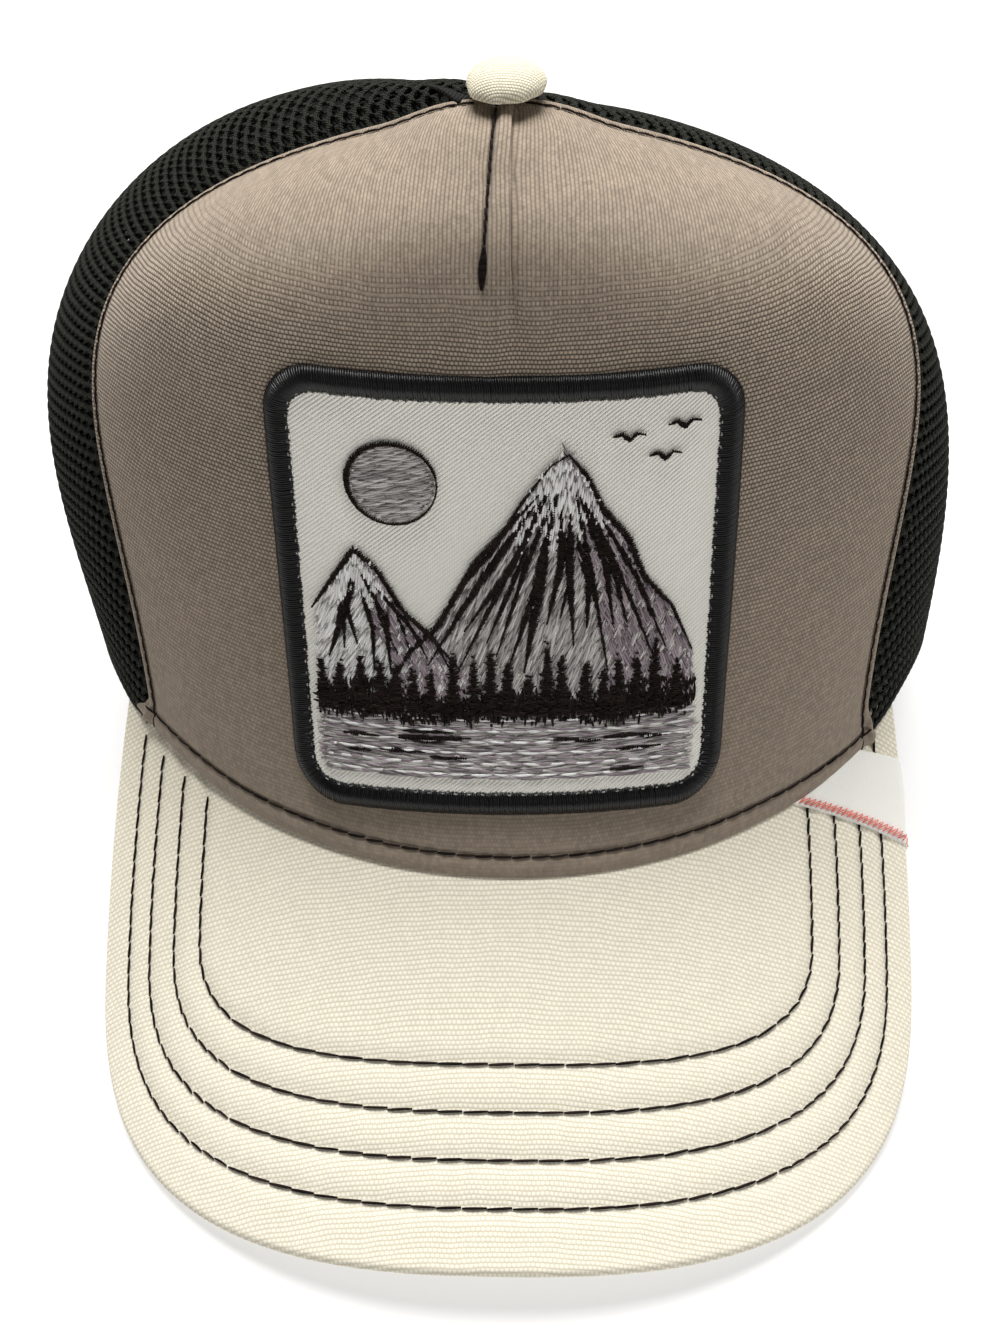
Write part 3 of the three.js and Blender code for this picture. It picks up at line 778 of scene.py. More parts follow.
def front_stitches():
    rows = []
    up = np.linspace(-2.0, front.ups[-1] * 0.972, 420)
    left, right = front.widths(up)
    left = left + 0.4 * corner_reach(up, -1) - EDGE_STITCH
    right = right + 0.4 * corner_reach(up, 1) - EDGE_STITCH
    for across, slant in ((-left, 0.1), (right, -0.1)):
        keep = (np.abs(across) > 2.5) & (up > hem(across) + 0.3)
        path = on_front(across[keep], up[keep], 0.05)
        rows.append(sewn(path, front.normal(across[keep], up[keep]), pitch=2.9, gap=0.02, width=0.5,
                         height=0.42, slant=slant))
    low_left, low_right = front.widths(LOWER_STITCH)
    across = np.linspace(-low_left - 0.5, low_right + 1.5, 300)
    up = LOWER_STITCH + hem(across)
    rows.append(sewn(on_front(across, up, 0.05), front.normal(across, up), pitch=3.4, gap=0.1,
                     width=0.52, height=0.42, slant=0.1))
    up = np.linspace(DART["high"] - 0.5, DART["tack"] + 5, 100)
    across, _ = dart_lines(up)
    rows.append(sewn(on_front(across, up, 0.05), front.normal(across, up), pitch=2.0, gap=-0.05,
                     width=0.55, height=0.55, slant=0.04))
    rows.append(bar_tack())
    return dress(strands("front_stitches", stitch_form, rows), black_thread, "thread")


# Open mesh panels
# A cell's size, its thread's width, how flat the thread is, how far the knots of a row lean up and
# down, how far a link's middle is sunk, and how much thinner it is there
CELL = {"across": 2.0, "up": 2.6, "thread": 1.42, "flat": 0.6, "lean": 0.1, "sink": 0.25, "waist": 0.85}
SEAM_DITCH = {"depth": 0.8, "width": 2.0}


def net_edges(bm, columns, rows):
    """The grid's upright edges, as those that link its rows and those that aren't needed"""
    step_x, step_y = 2 / columns, 2 / rows
    links, spare = [], []
    for edge in bm.edges:
        a, b = (v.co for v in edge.verts)
        if abs(a.x - b.x) < step_x / 2:
            column = round((a.x + 1) / step_x)
            row = round((min(a.y, b.y) + 1) / step_y)
            kept = (column + row) % 2 == 0 or not 0 < column < columns
            (links if kept else spare).append(edge)
    return links, spare


def net_grid(height, columns, rows):
    """A flat net of six-sided cells, in mm, across from a panel's middle line and up from its rim"""
    bm = bmesh.new()
    bmesh.ops.create_grid(bm, x_segments=columns, y_segments=rows, size=1)
    links, spare = net_edges(bm, columns, rows)
    for vert in bm.verts:
        column, row = round((vert.co.x + 1) * columns / 2), round((vert.co.y + 1) * rows / 2)
        lean = 1 if (column + row) % 2 == 0 else -1
        x = (column - columns / 2) * CELL["across"] / 2
        y = (row + CELL["lean"] * lean) * height / rows
        vert.co = Vector((x, min(max(y, 0), height), 0))
    split = bmesh.ops.subdivide_edges(bm, edges=links, cuts=1)
    for vert in (item for item in split["geom_inner"] if isinstance(item, bmesh.types.BMVert)):
        vert.co.z = -CELL["sink"]
    bmesh.ops.dissolve_edges(bm, edges=spare, use_verts=False)
    return bm


def cut_net(bm, flat, low_edge):
    """Takes away the cells outside the panel and draws its outer knots in to its edges."""
    outside = []
    for face in bm.faces:
        middle = face.calc_center_median()
        left, right = flat.widths(middle.y)
        low = low_edge(middle.x)
        steep = any(low_edge(vert.co.x) - vert.co.y > 2 * CELL["up"] for vert in face.verts)
        if not -left < middle.x < right or middle.y < low or steep:
            outside.append(face)
    bmesh.ops.delete(bm, geom=outside, context="FACES")
    for vert in bm.verts:
        left, right = flat.widths(vert.co.y)
        vert.co.x = min(max(vert.co.x, -left), right)
        vert.co.y = max(vert.co.y, low_edge(vert.co.x))
    bmesh.ops.remove_doubles(bm, verts=bm.verts, dist=0.12)


def open_mesh(name, flat, node, low_edge, ditch=0, hole=0.0):
    """A net laid on the crown's form. low_edge gives the height at which it ends, and ditch the
    side, -1 or 1, on which it sinks towards the front seam. hole, the opening's area in mm2, is
    not used."""
    height = flat.ups[-1] * PANEL_TOP
    half = max(flat.left.max(), flat.right.max()) + CELL["across"]
    columns = int(math.ceil(half / (CELL["across"] / 2))) * 2
    rows = int(math.ceil(height / CELL["up"]))
    bm = net_grid(height, columns, rows)
    cut_net(bm, flat, low_edge)
    bmesh.ops.wireframe(bm, faces=bm.faces, thickness=CELL["thread"], use_replace=True,
                        use_boundary=True, use_even_offset=True)
    own = places(bm)
    # The threads between two rows are thinner at their middle.
    in_row = np.abs((own[:, 1] / (height / rows)) % 1 - 0.5)
    strand = np.round(own[:, 0] / (CELL["across"] / 2)) * CELL["across"] / 2
    own[:, 0] = strand + (own[:, 0] - strand) * np.where(in_row < 0.15, CELL["waist"], 1)
    own[:, 2] *= CELL["flat"]
    left, right = flat.widths(own[:, 1])
    to_seam = left + own[:, 0] if ditch > 0 else right - own[:, 0]
    sunk = abs(ditch) * SEAM_DITCH["depth"] * bump(to_seam, 0, SEAM_DITCH["width"])
    move_to(bm, flat.point(own[:, 0], own[:, 1], own[:, 2] - CELL["thread"] * CELL["flat"] / 2 - sunk))
    lay_plan(bm, own[:, :2])
    bmesh.ops.recalc_face_normals(bm, faces=bm.faces)
    piece = new_piece(name, bm)
    flat.area() - hole
    return dress(piece, mesh_cloth, "mesh", node)


def corner_edge(side):
    """Height at which a side panel's net ends, which rises towards the hem's corner"""
    flat = sides[side]
    rise = {"left": 2.0, "right": 0.0}[side]

    def low_edge(across):
        left, right = flat.widths(0.0)
        to_seam = left + across if side == "right" else right - across
        return float(rise * smooth(1 - to_seam / 13))

    return low_edge


def opening_edge(side):
    """Height at which a back panel's net ends over the opening, whose binding covers its edge"""
    flat = backs[side]
    across, up = np.meshgrid(np.linspace(-flat.left.max(), flat.right.max(), 160), np.linspace(0, 60, 121))
    angle, t = flat.place(across, up)
    beside, over = rear.plan(np.mod(angle, 360), t)
    tucked = 1.0
    half_width, height = OPENING["half_width"] - tucked, OPENING["height"] - tucked
    inside = (beside / half_width) ** 2 + (over / height) ** 2 < 1
    edge = (up * inside).max(axis=0)
    return lambda place: float(np.interp(place, across[0], edge))


# Seam tapes inside the mesh, and the band inside the rim. depth is measured from the crown's face.
TAPES = {
    "side": {"half_width": 5.5, "depth": 1.5, "thickness": 0.6},
    "front": {"half_width": 5.2, "depth": 2.3, "thickness": 0.6},
}
TAPE_ENDS = {"low": 0.015, "high": 0.97, "front_high": 0.93}
BAND = {"angle": 148, "low": 0.8, "front_low": 3.2, "high": 31.0, "cut": 30.0}
BINDING = {"outside": 1.2, "inside": 4.8, "thickness": 2.6, "middle_radius": 43}


def strip_along(name, path, half_width, depth, thickness, columns=90):
    """A narrow tape under a seam. path gives (form, angle, t) for shares of its length."""
    share = np.linspace(0, 1, columns + 1)
    form, angle, t = path(share)
    line = form(angle, t)
    up = outward(form, angle, t)
    along = unit(np.gradient(line, axis=0))
    aside = unit(np.cross(up, along))
    length = np.concatenate([[0], np.cumsum(np.linalg.norm(np.diff(line, axis=0), axis=1))])

    def shape(u, v):
        i = column_of(u, columns)
        crown_of_tape = -depth - 0.25 * v * v
        points = line[i] + aside[i] * (v * half_width)[:, None] + up[i] * crown_of_tape[:, None]
        return points, np.stack([length[i], v * half_width], -1)

    piece = mapped_grid(name, columns, 6, shape)
    thicken(piece, thickness)
    return piece


def rim_strip(name, start, end, low, high, depth, thickness, columns, front_low):
    """A band that follows the rim at a depth under the crown's face. In front its lower edge is at
    front_low."""
    angles = np.linspace(start, end, columns + 1)
    fine = np.linspace(0, 0.45, 90)
    climbs = []
    for angle in angles:
        line = crown(angle + 0 * fine, fine)
        climbs.append(np.concatenate([[0], np.cumsum(np.linalg.norm(np.diff(line, axis=0), axis=1))]))

    def shape(u, v):
        i = column_of(u, columns)
        foot = lerp(low, front_low, smooth((80 - np.abs(angles[i])) / 14))
        up = lerp(foot, high, (v + 1) / 2)
        t = np.array([np.interp(height, climbs[k], fine) for k, height in zip(i, up)])
        angle = angles[i]
        bulge = 0.3 * (1 - v * v)
        points = crown(angle, t) - outward(crown, angle, t) * (depth - bulge)[:, None]
        return points, np.stack([np.radians(angle) * RIM_HALF_WIDTH, up], -1)

    piece = mapped_grid(name, columns, 8, shape)
    thicken(piece, thickness, 0.35)
    return piece


# Peak
def peak_line(inset=0.0, side=0.0, count=400):
    """A line round the peak at its insets from the edge, from the left end to the right"""
    width = PEAK_HALF_WIDTH - side
    length = PEAK_FRONT - inset
    turn = np.linspace(0, np.pi / 2, count // 2)
    power = 2 / PEAK_POWER
    x = width * np.sin(turn) ** power
    y = -PEAK_WIDEST - (length - PEAK_WIDEST) * np.cos(turn) ** power
    end_x, end_y = rim_plan(PEAK_END_ANGLE)
    end_x = end_x - side
    u = np.linspace(0, 1, 60)[1:]
    x = np.concatenate([x, width - (width - end_x) * u * u])
    y = np.concatenate([y, lerp(-PEAK_WIDEST, end_y, u)])
    return np.concatenate([np.stack([-x, y], -1)[:0:-1], np.stack([x, y], -1)])


def even(line, count):
    steps = np.concatenate([[0], np.cumsum(np.linalg.norm(np.diff(line, axis=0), axis=1))])
    target = np.linspace(0, steps[-1], count + 1)
    return np.stack([np.interp(target, steps, line[:, 0]), np.interp(target, steps, line[:, 1])], -1)


def peak_normal(x, y):
    step = 0.2
    slope_x = (peak_height(x + step, y) - peak_height(x - step, y)) / (2 * step)
    slope_y = (peak_height(x, y + step) - peak_height(x, y - step)) / (2 * step)
    return unit(np.stack([-slope_x, -slope_y, np.ones_like(slope_x)], -1))


def on_peak(x, y, raised):
    base = np.stack([x, y, peak_height(x, y)], -1)
    return base + peak_normal(x, y) * np.asarray(raised)[..., None]


def beside_rows(x, y):
    """Distance to the nearest row of stitches on the peak"""
    nearest = np.full(len(x), 99.0)
    for inset, side in zip(PEAK_ROWS["front"], PEAK_ROWS["side"]):
        line = even(peak_line(inset, side), 260)
        for start in range(0, len(x), 4000):
            block = slice(start, start + 4000)
            gap = np.hypot(x[block, None] - line[:, 0], y[block, None] - line[:, 1]).min(1)
            nearest[block] = np.minimum(nearest[block], gap)
    return nearest


PEAK_COLUMNS = 300
# Shares of the way over the peak at which its upper face ends and its lower face begins
PEAK_FACES = {"upper": 0.56, "lower": 0.70}
PEAK_SEWING = {
    "side": {"pitch": 3.05, "gap": 0.08, "width": 0.5, "height": 0.42, "slant": -0.14},
    "front": {"pitch": 4.5, "gap": 0.06, "width": 0.58, "height": 0.42, "slant": 0.1},
}


def peak_shape(u, v):
    """v runs from the crown over the upper face, round the edge and back underneath."""
    outer = even(peak_line(), PEAK_COLUMNS)
    turns = np.linspace(-PEAK_END_ANGLE, PEAK_END_ANGLE, PEAK_COLUMNS + 1)
    inner = np.stack(rim_plan(turns), -1) * PEAK_INSIDE
    i = column_of(u, PEAK_COLUMNS)
    radius = PEAK_THICKNESS / 2
    way = inner[i] - outer[i]
    width = np.linalg.norm(way, axis=1)
    inward = way / np.maximum(width, 1e-6)[:, None]
    share = (v + 1) / 2
    turns_at, ends_at = PEAK_FACES["upper"], PEAK_FACES["lower"]
    upper, lower = share < turns_at, share > ends_at
    turn = np.clip((share - turns_at) / (ends_at - turns_at), 0, 1) * np.pi
    radius_in = np.minimum(radius, width / 2)
    from_edge = np.where(upper, lerp(radius_in, width, 1 - share / turns_at),
                         np.where(lower, lerp(radius_in, width, (share - ends_at) / (1 - ends_at)),
                                  radius_in - radius_in * np.sin(turn)))
    raised = np.where(upper, 0, np.where(lower, -PEAK_THICKNESS, -radius + radius * np.cos(turn)))
    x = outer[i, 0] + inward[:, 0] * from_edge
    y = outer[i, 1] + inward[:, 1] * from_edge
    quilt = 0.38 * (1 - np.exp(-((beside_rows(x, y) / 1.5) ** 2))) - 0.3
    face = np.where(upper, 1, np.where(lower, -1, np.cos(turn)))
    return on_peak(x, y, raised + quilt * face), np.stack([x + 200 * lower, y], -1)


def peak():
    piece = mapped_grid("peak_cover", PEAK_COLUMNS, 120, peak_shape, flip=True)
    return dress(piece, peak_cloth, "peak_cloth", "peak")


def peak_stitches():
    """Rows round the peak: bent, slanted stitches at the sides and longer, straighter ones in
    front. The ribbon covers those under it."""
    side_rows, front_rows = [], []
    for inset, side in zip(PEAK_ROWS["front"], PEAK_ROWS["side"]):
        line = even(peak_line(inset, side), 900)
        x, y = line[:, 0], line[:, 1]
        clear = (x / (RIM_HALF_WIDTH + 0.5)) ** 2 + (y / (RIM_FRONT + 0.5)) ** 2 > 1
        inner, _, _ = ribbon_way(y)
        low, high = TAG["front"] + 2 + (x - inner) * TAG["front_slant"], TAG["back"] - 1
        clear &= ~((x > 0) & (y > low) & (y < high))
        for part, rows, sewing in ((clear & (x < -PEAK_TURN), side_rows, "side"),
                                   (clear & (x > PEAK_TURN), side_rows, "side"),
                                   (clear & (np.abs(x) <= PEAK_TURN), front_rows, "front")):
            breaks = np.flatnonzero(np.diff(np.flatnonzero(part)) > 1)
            for run in np.split(np.flatnonzero(part), breaks + 1):
                if len(run) > 3:
                    px, py = x[run], y[run]
                    path, up = on_peak(px, py, -0.05 + 0 * px), peak_normal(px, py)
                    rows.append(sewn(path, up, **PEAK_SEWING[sewing]))
    dress(strands("peak_side_stitches", bent_form, side_rows), black_thread, "thread")
    dress(strands("peak_front_stitches", stitch_form, front_rows), black_thread, "thread")


# Patch
def patch_plan(across, up):
    share = np.asarray(up) / PATCH["height"]
    narrowing = 1 - PATCH["taper"] / PATCH["width"] * (1 - share)
    sag = PATCH["sag"] * (1 - share) * (2 * np.asarray(across) / PATCH["width"]) ** 2
    return PATCH["aside"] + across * narrowing, PATCH["bottom"] + up - sag


def on_patch(across, up, lift):
    return front.point(*patch_plan(across, up), lift)


def patch_normal(across, up):
    return front.normal(*patch_plan(across, up))


def border_line(share):
    """Places on the border's middle line and the direction out of it, for shares of its length"""
    middle = BORDER["width"] / 2
    radius = PATCH["corner"] - middle
    half_x = PATCH["width"] / 2 - middle - radius
    low, high = middle + radius, PATCH["height"] - middle - radius
    corners = [(half_x, high, 0), (-half_x, high, 90), (-half_x, low, 180), (half_x, low, 270)]
    line, out = [], []
    for k, (x, y, start) in enumerate(corners):
        next_x, next_y, _ = corners[(k + 1) % 4]
        for angle in np.radians(start + np.linspace(0, 90, 24)):
            way = np.array([math.cos(angle), math.sin(angle)])
            line.append(np.array([x, y]) + way * radius)
            out.append(way)
        for part in np.linspace(0, 1, 60)[1:-1]:
            line.append(np.array([lerp(x, next_x, part), lerp(y, next_y, part)]) + way * radius)
            out.append(way)
    line, out = np.array(line + line[:1]), np.array(out + out[:1])
    length = np.concatenate([[0], np.cumsum(np.linalg.norm(np.diff(line, axis=0), axis=1))])
    target = np.asarray(share) * length[-1]
    place = np.stack([np.interp(target, length, line[:, k]) for k in (0, 1)], -1)
    way = np.stack([np.interp(target, length, out[:, k]) for k in (0, 1)], -1)
    return place, unit(way), length[-1]


def patch_ground():
    low = BORDER["width"] * 0.6
    half, high = PATCH["width"] / 2 - low, PATCH["height"] - low
    corner = 5.0

    def shape(u, v):
        up = lerp(low, high, (v + 1) / 2)
        cut = np.maximum(0, corner - np.minimum(up - low, high - up))
        across = u * (half - (corner - np.sqrt(np.maximum(corner**2 - cut**2, 0))))
        return on_patch(across, up, GROUND_LIFT + 0 * up), np.stack([across, up], -1)

    piece = mapped_grid("patch_twill", 60, 60, shape)
    thicken(piece, GROUND_LIFT)
    return dress(piece, twill, "twill", "patch_ground")


def patch_border():
    """A padded core with threads wrapped over it"""
    sections = 180

    def shape(u, v):
        place, out, _ = border_line((u + 1) / 2)
        turn = np.pi * (v + 1) / 2
        aside = (BORDER["width"] / 2 - 0.25) * np.cos(turn)
        spot = place + out * aside[:, None]
        lift = 0.1 + (BORDER["height"] - 0.25) * np.sin(turn)
        return on_patch(spot[:, 0], spot[:, 1], lift), np.stack([u * 150, v * 3], -1)

    core = mapped_grid("border_core", sections, 10, shape)
    dress(core, border_thread, "thread", "patch_border")
    _, _, length = border_line(0.0)
    count = int(length / 0.4)
    share = (np.arange(count) + rng.uniform(-0.12, 0.12, count)) / count
    inner, _, _ = border_line(share)
    outer, way, _ = border_line((share + 0.5 / length) % 1)
    inside = BORDER["width"] / 2 + rng.uniform(-0.15, 0.2, count)
    outside = BORDER["width"] / 2 + rng.uniform(-0.04, 0.04, count)
    a, b = inner - way * inside[:, None], outer + way * outside[:, None]
    middle = (a + b) / 2
    row = {
        "start": on_patch(a[:, 0], a[:, 1], 0.75 + 0 * share),
        "end": on_patch(b[:, 0], b[:, 1], 0.1 + 0 * share),
        "up": patch_normal(middle[:, 0], middle[:, 1]),
        "width": np.full(count, 0.54),
        "height": np.full(count, 0.56),
        "shade": rng.uniform(0, 1, count),
    }
    return dress(strands("border_threads", wrap_form, [row]), border_thread, "thread")


def border_seam():
    """The small pale stitches that hold the patch, on the border near its inner edge"""
    share = np.linspace(0, 1, 800)
    place, out, _ = border_line(share)
    spot = place - out * BORDER["seam"]
    path = on_patch(spot[:, 0], spot[:, 1], GROUND_LIFT + 0.25 + 0 * share)
    rows = [sewn(path, patch_normal(spot[:, 0], spot[:, 1]), pitch=2.4, gap=1.8, width=0.24, height=0.3)]
    return dress(strands("border_seam", stitch_form, rows), grey_thread, "thread")


# Embroidery: a mountain over a lake, in black, white, silver and mauve threads. Outlines are in
# the patch's own plan, in mm.
def fill(outline, angle, spacing, stitch, ragged=0.4, wobble=3.0):
    """Rows of threads inside an outline, as (x0, y0, x1, y1)"""
    turn = math.radians(angle)
    way = np.array([math.cos(turn), math.sin(turn)])
    over = np.array([-way[1], way[0]])
    corners = np.array(outline, float)
    along, across = corners @ way, corners @ over
    threads = []
    for row in np.arange(across.min() + spacing / 2, across.max(), spacing):
        crossings = []
        for k in range(len(corners)):
            a0, a1 = across[k], across[(k + 1) % len(corners)]
            if (a0 <= row) != (a1 <= row):
                crossings.append(lerp(along[k], along[(k + 1) % len(corners)], (row - a0) / (a1 - a0)))
        crossings.sort()
        for begin, end in zip(crossings[::2], crossings[1::2]):
            begin += rng.normal(0, ragged)
            end += rng.normal(0, ragged)
            place = begin - rng.uniform(0, stitch) * (end - begin > stitch)
            while place < end:
                reach = stitch * rng.uniform(0.75, 1.2)
                a, b = max(place, begin), min(place + reach, end)
                if b - a > 0.5:
                    tilt = math.tan(math.radians(rng.normal(0, wobble))) * (b - a) / 2
                    p = way * a + over * (row - tilt)
                    q = way * b + over * (row + tilt)
                    threads.append((*p, *q))
                place += reach
    return np.array(threads)


def stroke(points, widest, spacing=0.42):
    """A tapering satin stroke along a path, its threads laid square to the path"""
    path = even(np.array(points, float), max(3, int(20 * len(points))))
    steps = np.concatenate([[0], np.cumsum(np.linalg.norm(np.diff(path, axis=0), axis=1))])
    at = np.arange(0, steps[-1], spacing)
    x, y = np.interp(at, steps, path[:, 0]), np.interp(at, steps, path[:, 1])
    way = unit(np.stack([np.gradient(x), np.gradient(y)], -1))
    slant = unit(np.stack([-way[:, 1] + 0.35 * way[:, 0], way[:, 0] + 0.35 * way[:, 1]], -1))
    width = widest * np.sin(np.pi * np.clip((at / steps[-1]) ** 0.7, 0.04, 0.97)) + 0.25
    half = (width / 2 * rng.uniform(0.8, 1.2, len(at)))[:, None]
    spots = np.stack([x, y], -1)
    return np.concatenate([spots - slant * half, spots + slant * half], axis=1)


def threads_on_patch(flat_threads, lift, width=0.48, height=0.46):
    # No thread reaches the border.
    x, y = flat_threads[:, 0::2], flat_threads[:, 1::2]
    clear = (np.abs(x).max(1) < EMBROIDERED["half"]) & (y.min(1) > EMBROIDERED["low"])
    a, b = flat_threads[clear, :2], flat_threads[clear, 2:]
    middle = (a + b) / 2
    count = len(a)
    height_of = GROUND_LIFT + lift + rng.uniform(-0.05, 0.08, count)
    return {
        "start": on_patch(a[:, 0], a[:, 1], height_of),
        "end": on_patch(b[:, 0], b[:, 1], height_of),
        "up": patch_normal(middle[:, 0], middle[:, 1]),
        "width": width * rng.uniform(0.9, 1.15, count),
        "height": np.full(count, height),
        "shade": rng.uniform(0, 1, count),
    }


def circle(x, y, radius, count=28):
    turn = np.linspace(0, 2 * np.pi, count, endpoint=False)
    return np.stack([x + radius * np.cos(turn), y + radius * np.sin(turn)], -1)


EMBROIDERED = {"half": 35.3, "low": 5.6}
GREAT_PEAK = [(-22, 22), (-17, 31), (-12, 36), (-7, 45), (-2, 51), (3, 60), (8, 67), (11, 69),
              (14, 65), (17, 58), (21, 53), (24, 45), (29, 39), (33, 30), (33.5, 22)]
GREAT_SHADE = [(11, 69), (14, 65), (17, 58), (21, 53), (24, 45), (29, 39), (33, 30), (33.5, 22),
               (16, 22), (19, 30), (15, 37), (17, 44), (12, 50), (14, 57), (10, 62)]
GREAT_SNOW = [(11, 69), (15, 63), (18, 56), (16, 54), (15, 58), (13, 52), (11, 57), (8, 50),
              (6, 56), (3, 51), (1, 55), (3, 60), (8, 67)]
LOW_PEAK = [(-34, 22), (-34, 38), (-30, 44), (-26, 50), (-22, 46), (-18, 39), (-13, 34), (-8, 28),
            (-4, 22)]
LOW_SHADE = [(-26, 50), (-22, 46), (-18, 39), (-13, 34), (-8, 28), (-4, 22), (-18, 22), (-20, 30),
             (-24, 36), (-23, 42)]
LOW_SNOW = [(-26, 50), (-22, 46), (-20, 41), (-22, 42), (-24, 38), (-26, 43), (-29, 39), (-31, 42)]
LAKE = [(-34, 7), (-34, 20), (34, 20), (34, 7)]
SHORE = [(-34, 18), (-34, 24), (-24, 25.5), (-10, 23), (2, 24.5), (16, 23), (26, 26), (34, 25),
         (34, 19), (20, 17.5), (4, 18.5), (-14, 17.5)]
PINES = {"first": -32.5, "last": 33.0, "step": 3.3, "low": 19.5, "least": 7.0, "most": 13.0}


def ridge_strokes(top, foot_left, foot_right, count, widest):
    """Dark strokes that run down a mountain from its top, bending outwards"""
    made = []
    for k in range(count):
        share = (k + 0.5) / count
        foot = lerp(np.array(foot_left, float), np.array(foot_right, float), share)
        begin = lerp(np.array(top, float), foot, rng.uniform(0.16, 0.5))
        finish = lerp(np.array(top, float), foot, rng.uniform(0.72, 0.98))
        bend = (begin + finish) / 2 + np.array([rng.uniform(-1.8, 1.8), rng.uniform(-0.5, 1.5)])
        made.append(stroke([begin, bend, finish], widest * rng.uniform(0.6, 1.15)))
    return np.concatenate(made)


def pine(x, low, height):
    tiers = []
    for k in range(5):
        share = k / 5
        half = lerp(2.3, 0.5, share)
        base = low + height * share
        tip = base + height * 0.34
        tiers.append([(x - half, base), (x + half, base), (x, tip)])
    return np.concatenate([fill(tier, 0, 0.4, 3.0, 0.25, 5) for tier in tiers])


def embroidery():
    silver = [
        threads_on_patch(fill(GREAT_PEAK, 68, 0.4, 5.0), 0.12),
        threads_on_patch(fill(circle(-19, 63, 7.2), 12, 0.4, 4.5, 0.15, 1.0), 0.12),
        threads_on_patch(fill(LAKE, 0, 0.42, 6.0), 0.1),
    ]
    mauve = [
        threads_on_patch(fill(GREAT_SHADE, 112, 0.44, 4.5, 0.9), 0.26),
        threads_on_patch(fill(LOW_SHADE, 118, 0.44, 4.0, 0.8), 0.26),
        threads_on_patch(fill(LAKE, 0, 1.3, 5.0, 2.0), 0.2),
    ]
    white = [
        threads_on_patch(fill(LOW_PEAK, 62, 0.4, 5.0), 0.12),
        threads_on_patch(fill(GREAT_SNOW, 84, 0.42, 4.0, 0.7), 0.36),
        threads_on_patch(fill(LOW_SNOW, 84, 0.42, 4.0, 0.6), 0.36),
        threads_on_patch(fill(LAKE, 0, 2.1, 4.0, 3.0), 0.26),
    ]
    black = [
        threads_on_patch(ridge_strokes((11, 69), (-20, 26), (32, 26), 17, 1.5), 0.42),
        threads_on_patch(ridge_strokes((-26, 50), (-34, 25), (-6, 25), 9, 1.2), 0.42),
        threads_on_patch(stroke(GREAT_PEAK[:8], 1.1), 0.4),
        threads_on_patch(stroke(GREAT_PEAK[7:14], 1.3), 0.4),
        threads_on_patch(stroke(LOW_PEAK[1:8], 1.1), 0.4),
        threads_on_patch(fill(SHORE, 90, 0.4, 3.5, 0.5, 6), 0.4),
    ]
    outline = circle(-19, 63, 7.6, 40)
    black.append(threads_on_patch(stroke([*outline, outline[0]], 0.9), 0.36))
    x = PINES["first"]
    while x < PINES["last"]:
        tall = rng.uniform(PINES["least"], PINES["most"])
        black.append(threads_on_patch(pine(x + rng.uniform(-0.6, 0.6), PINES["low"], tall), 0.6))
        x += PINES["step"]
    for _ in range(16):
        x, y = rng.uniform(-32, 26), rng.uniform(8, 16)
        black.append(threads_on_patch(stroke([(x, y), (x + rng.uniform(4, 9), y)], 0.7), 0.34))
    for x, y in ((21, 71), (27, 67), (30, 72.5)):
        wings = [(x - 2.6, y + 0.9), (x - 1.2, y + 1.3), (x, y), (x + 1.2, y + 1.3), (x + 2.6, y + 0.9)]
        black.append(threads_on_patch(stroke(wings, 0.7, 0.35), 0.3))
    for name, rows, material in (("silver", silver, silver_thread), ("mauve", mauve, mauve_thread),
                                 ("white", white, white_thread), ("black", black, black_thread)):
        piece = strands(f"embroidery_{name}", satin_form, rows)
        dress(piece, material, "thread")


# Button, tag and strap
def button():
    bm = bmesh.new()
    bmesh.ops.create_uvsphere(bm, u_segments=64, v_segments=40, radius=1)
    own = places(bm)
    x, y, z = own.T
    turn = np.arctan2(y, x)
    rim = BUTTON["rim"]
    height = rim + z * np.where(z > 0, BUTTON["height"] - rim, rim)
    tuck = 1 - 0.05 * smooth(-z * 2 + 0.6) * (0.5 + 0.5 * np.cos(turn * 9 + 0.7))
    tuck *= 1 + 0.012 * np.sin(turn * 5 + 1.0) + 0.012 * np.sin(turn * 3 + 2.0)
    lobe = 0.4 * bump(turn, -2.2, 0.5) * smooth(0.5 - z)
    radius = BUTTON["radius"]
    local = np.stack([x * radius * tuck, y * radius * tuck, height], -1)
    local[:, :2] += own[:, :2] * lobe[:, None]
    tilt = Matrix.Rotation(-math.radians(BUTTON["tilt"]), 3, "X")
    base = np.array([BUTTON["aside"], TOP_BACK - BUTTON["forward"], TOP_HEIGHT + BUTTON["raised"]])
    points = local @ np.array(tilt).T + base
    lay_plan(bm, local[:, :2] * (1 + 0.4 * (1 - z))[:, None])
    move_to(bm, points)
    return dress(new_piece("covered_button", bm), button_cloth, "peak_cloth", "button")


def ribbon_way(start):
    """Where the ribbon leaves the crown, where it reaches the peak's edge and how far out that is,
    for a place on the crown's seam"""
    outline = peak_line()
    right = outline[len(outline) // 2:]
    share = (start - TAG["front"]) / (TAG["back"] - TAG["front"])
    slant = lerp(TAG["front_slant"], TAG["back_slant"], share)
    inner = RIM_HALF_WIDTH * np.sqrt(np.maximum(1 - (start / RIM_FRONT) ** 2, 0)) + TAG["clearance"]
    edge = np.interp(start, right[:, 1], right[:, 0])
    end = start + slant * (edge - inner)
    return inner, end, np.interp(end, right[:, 1], right[:, 0])


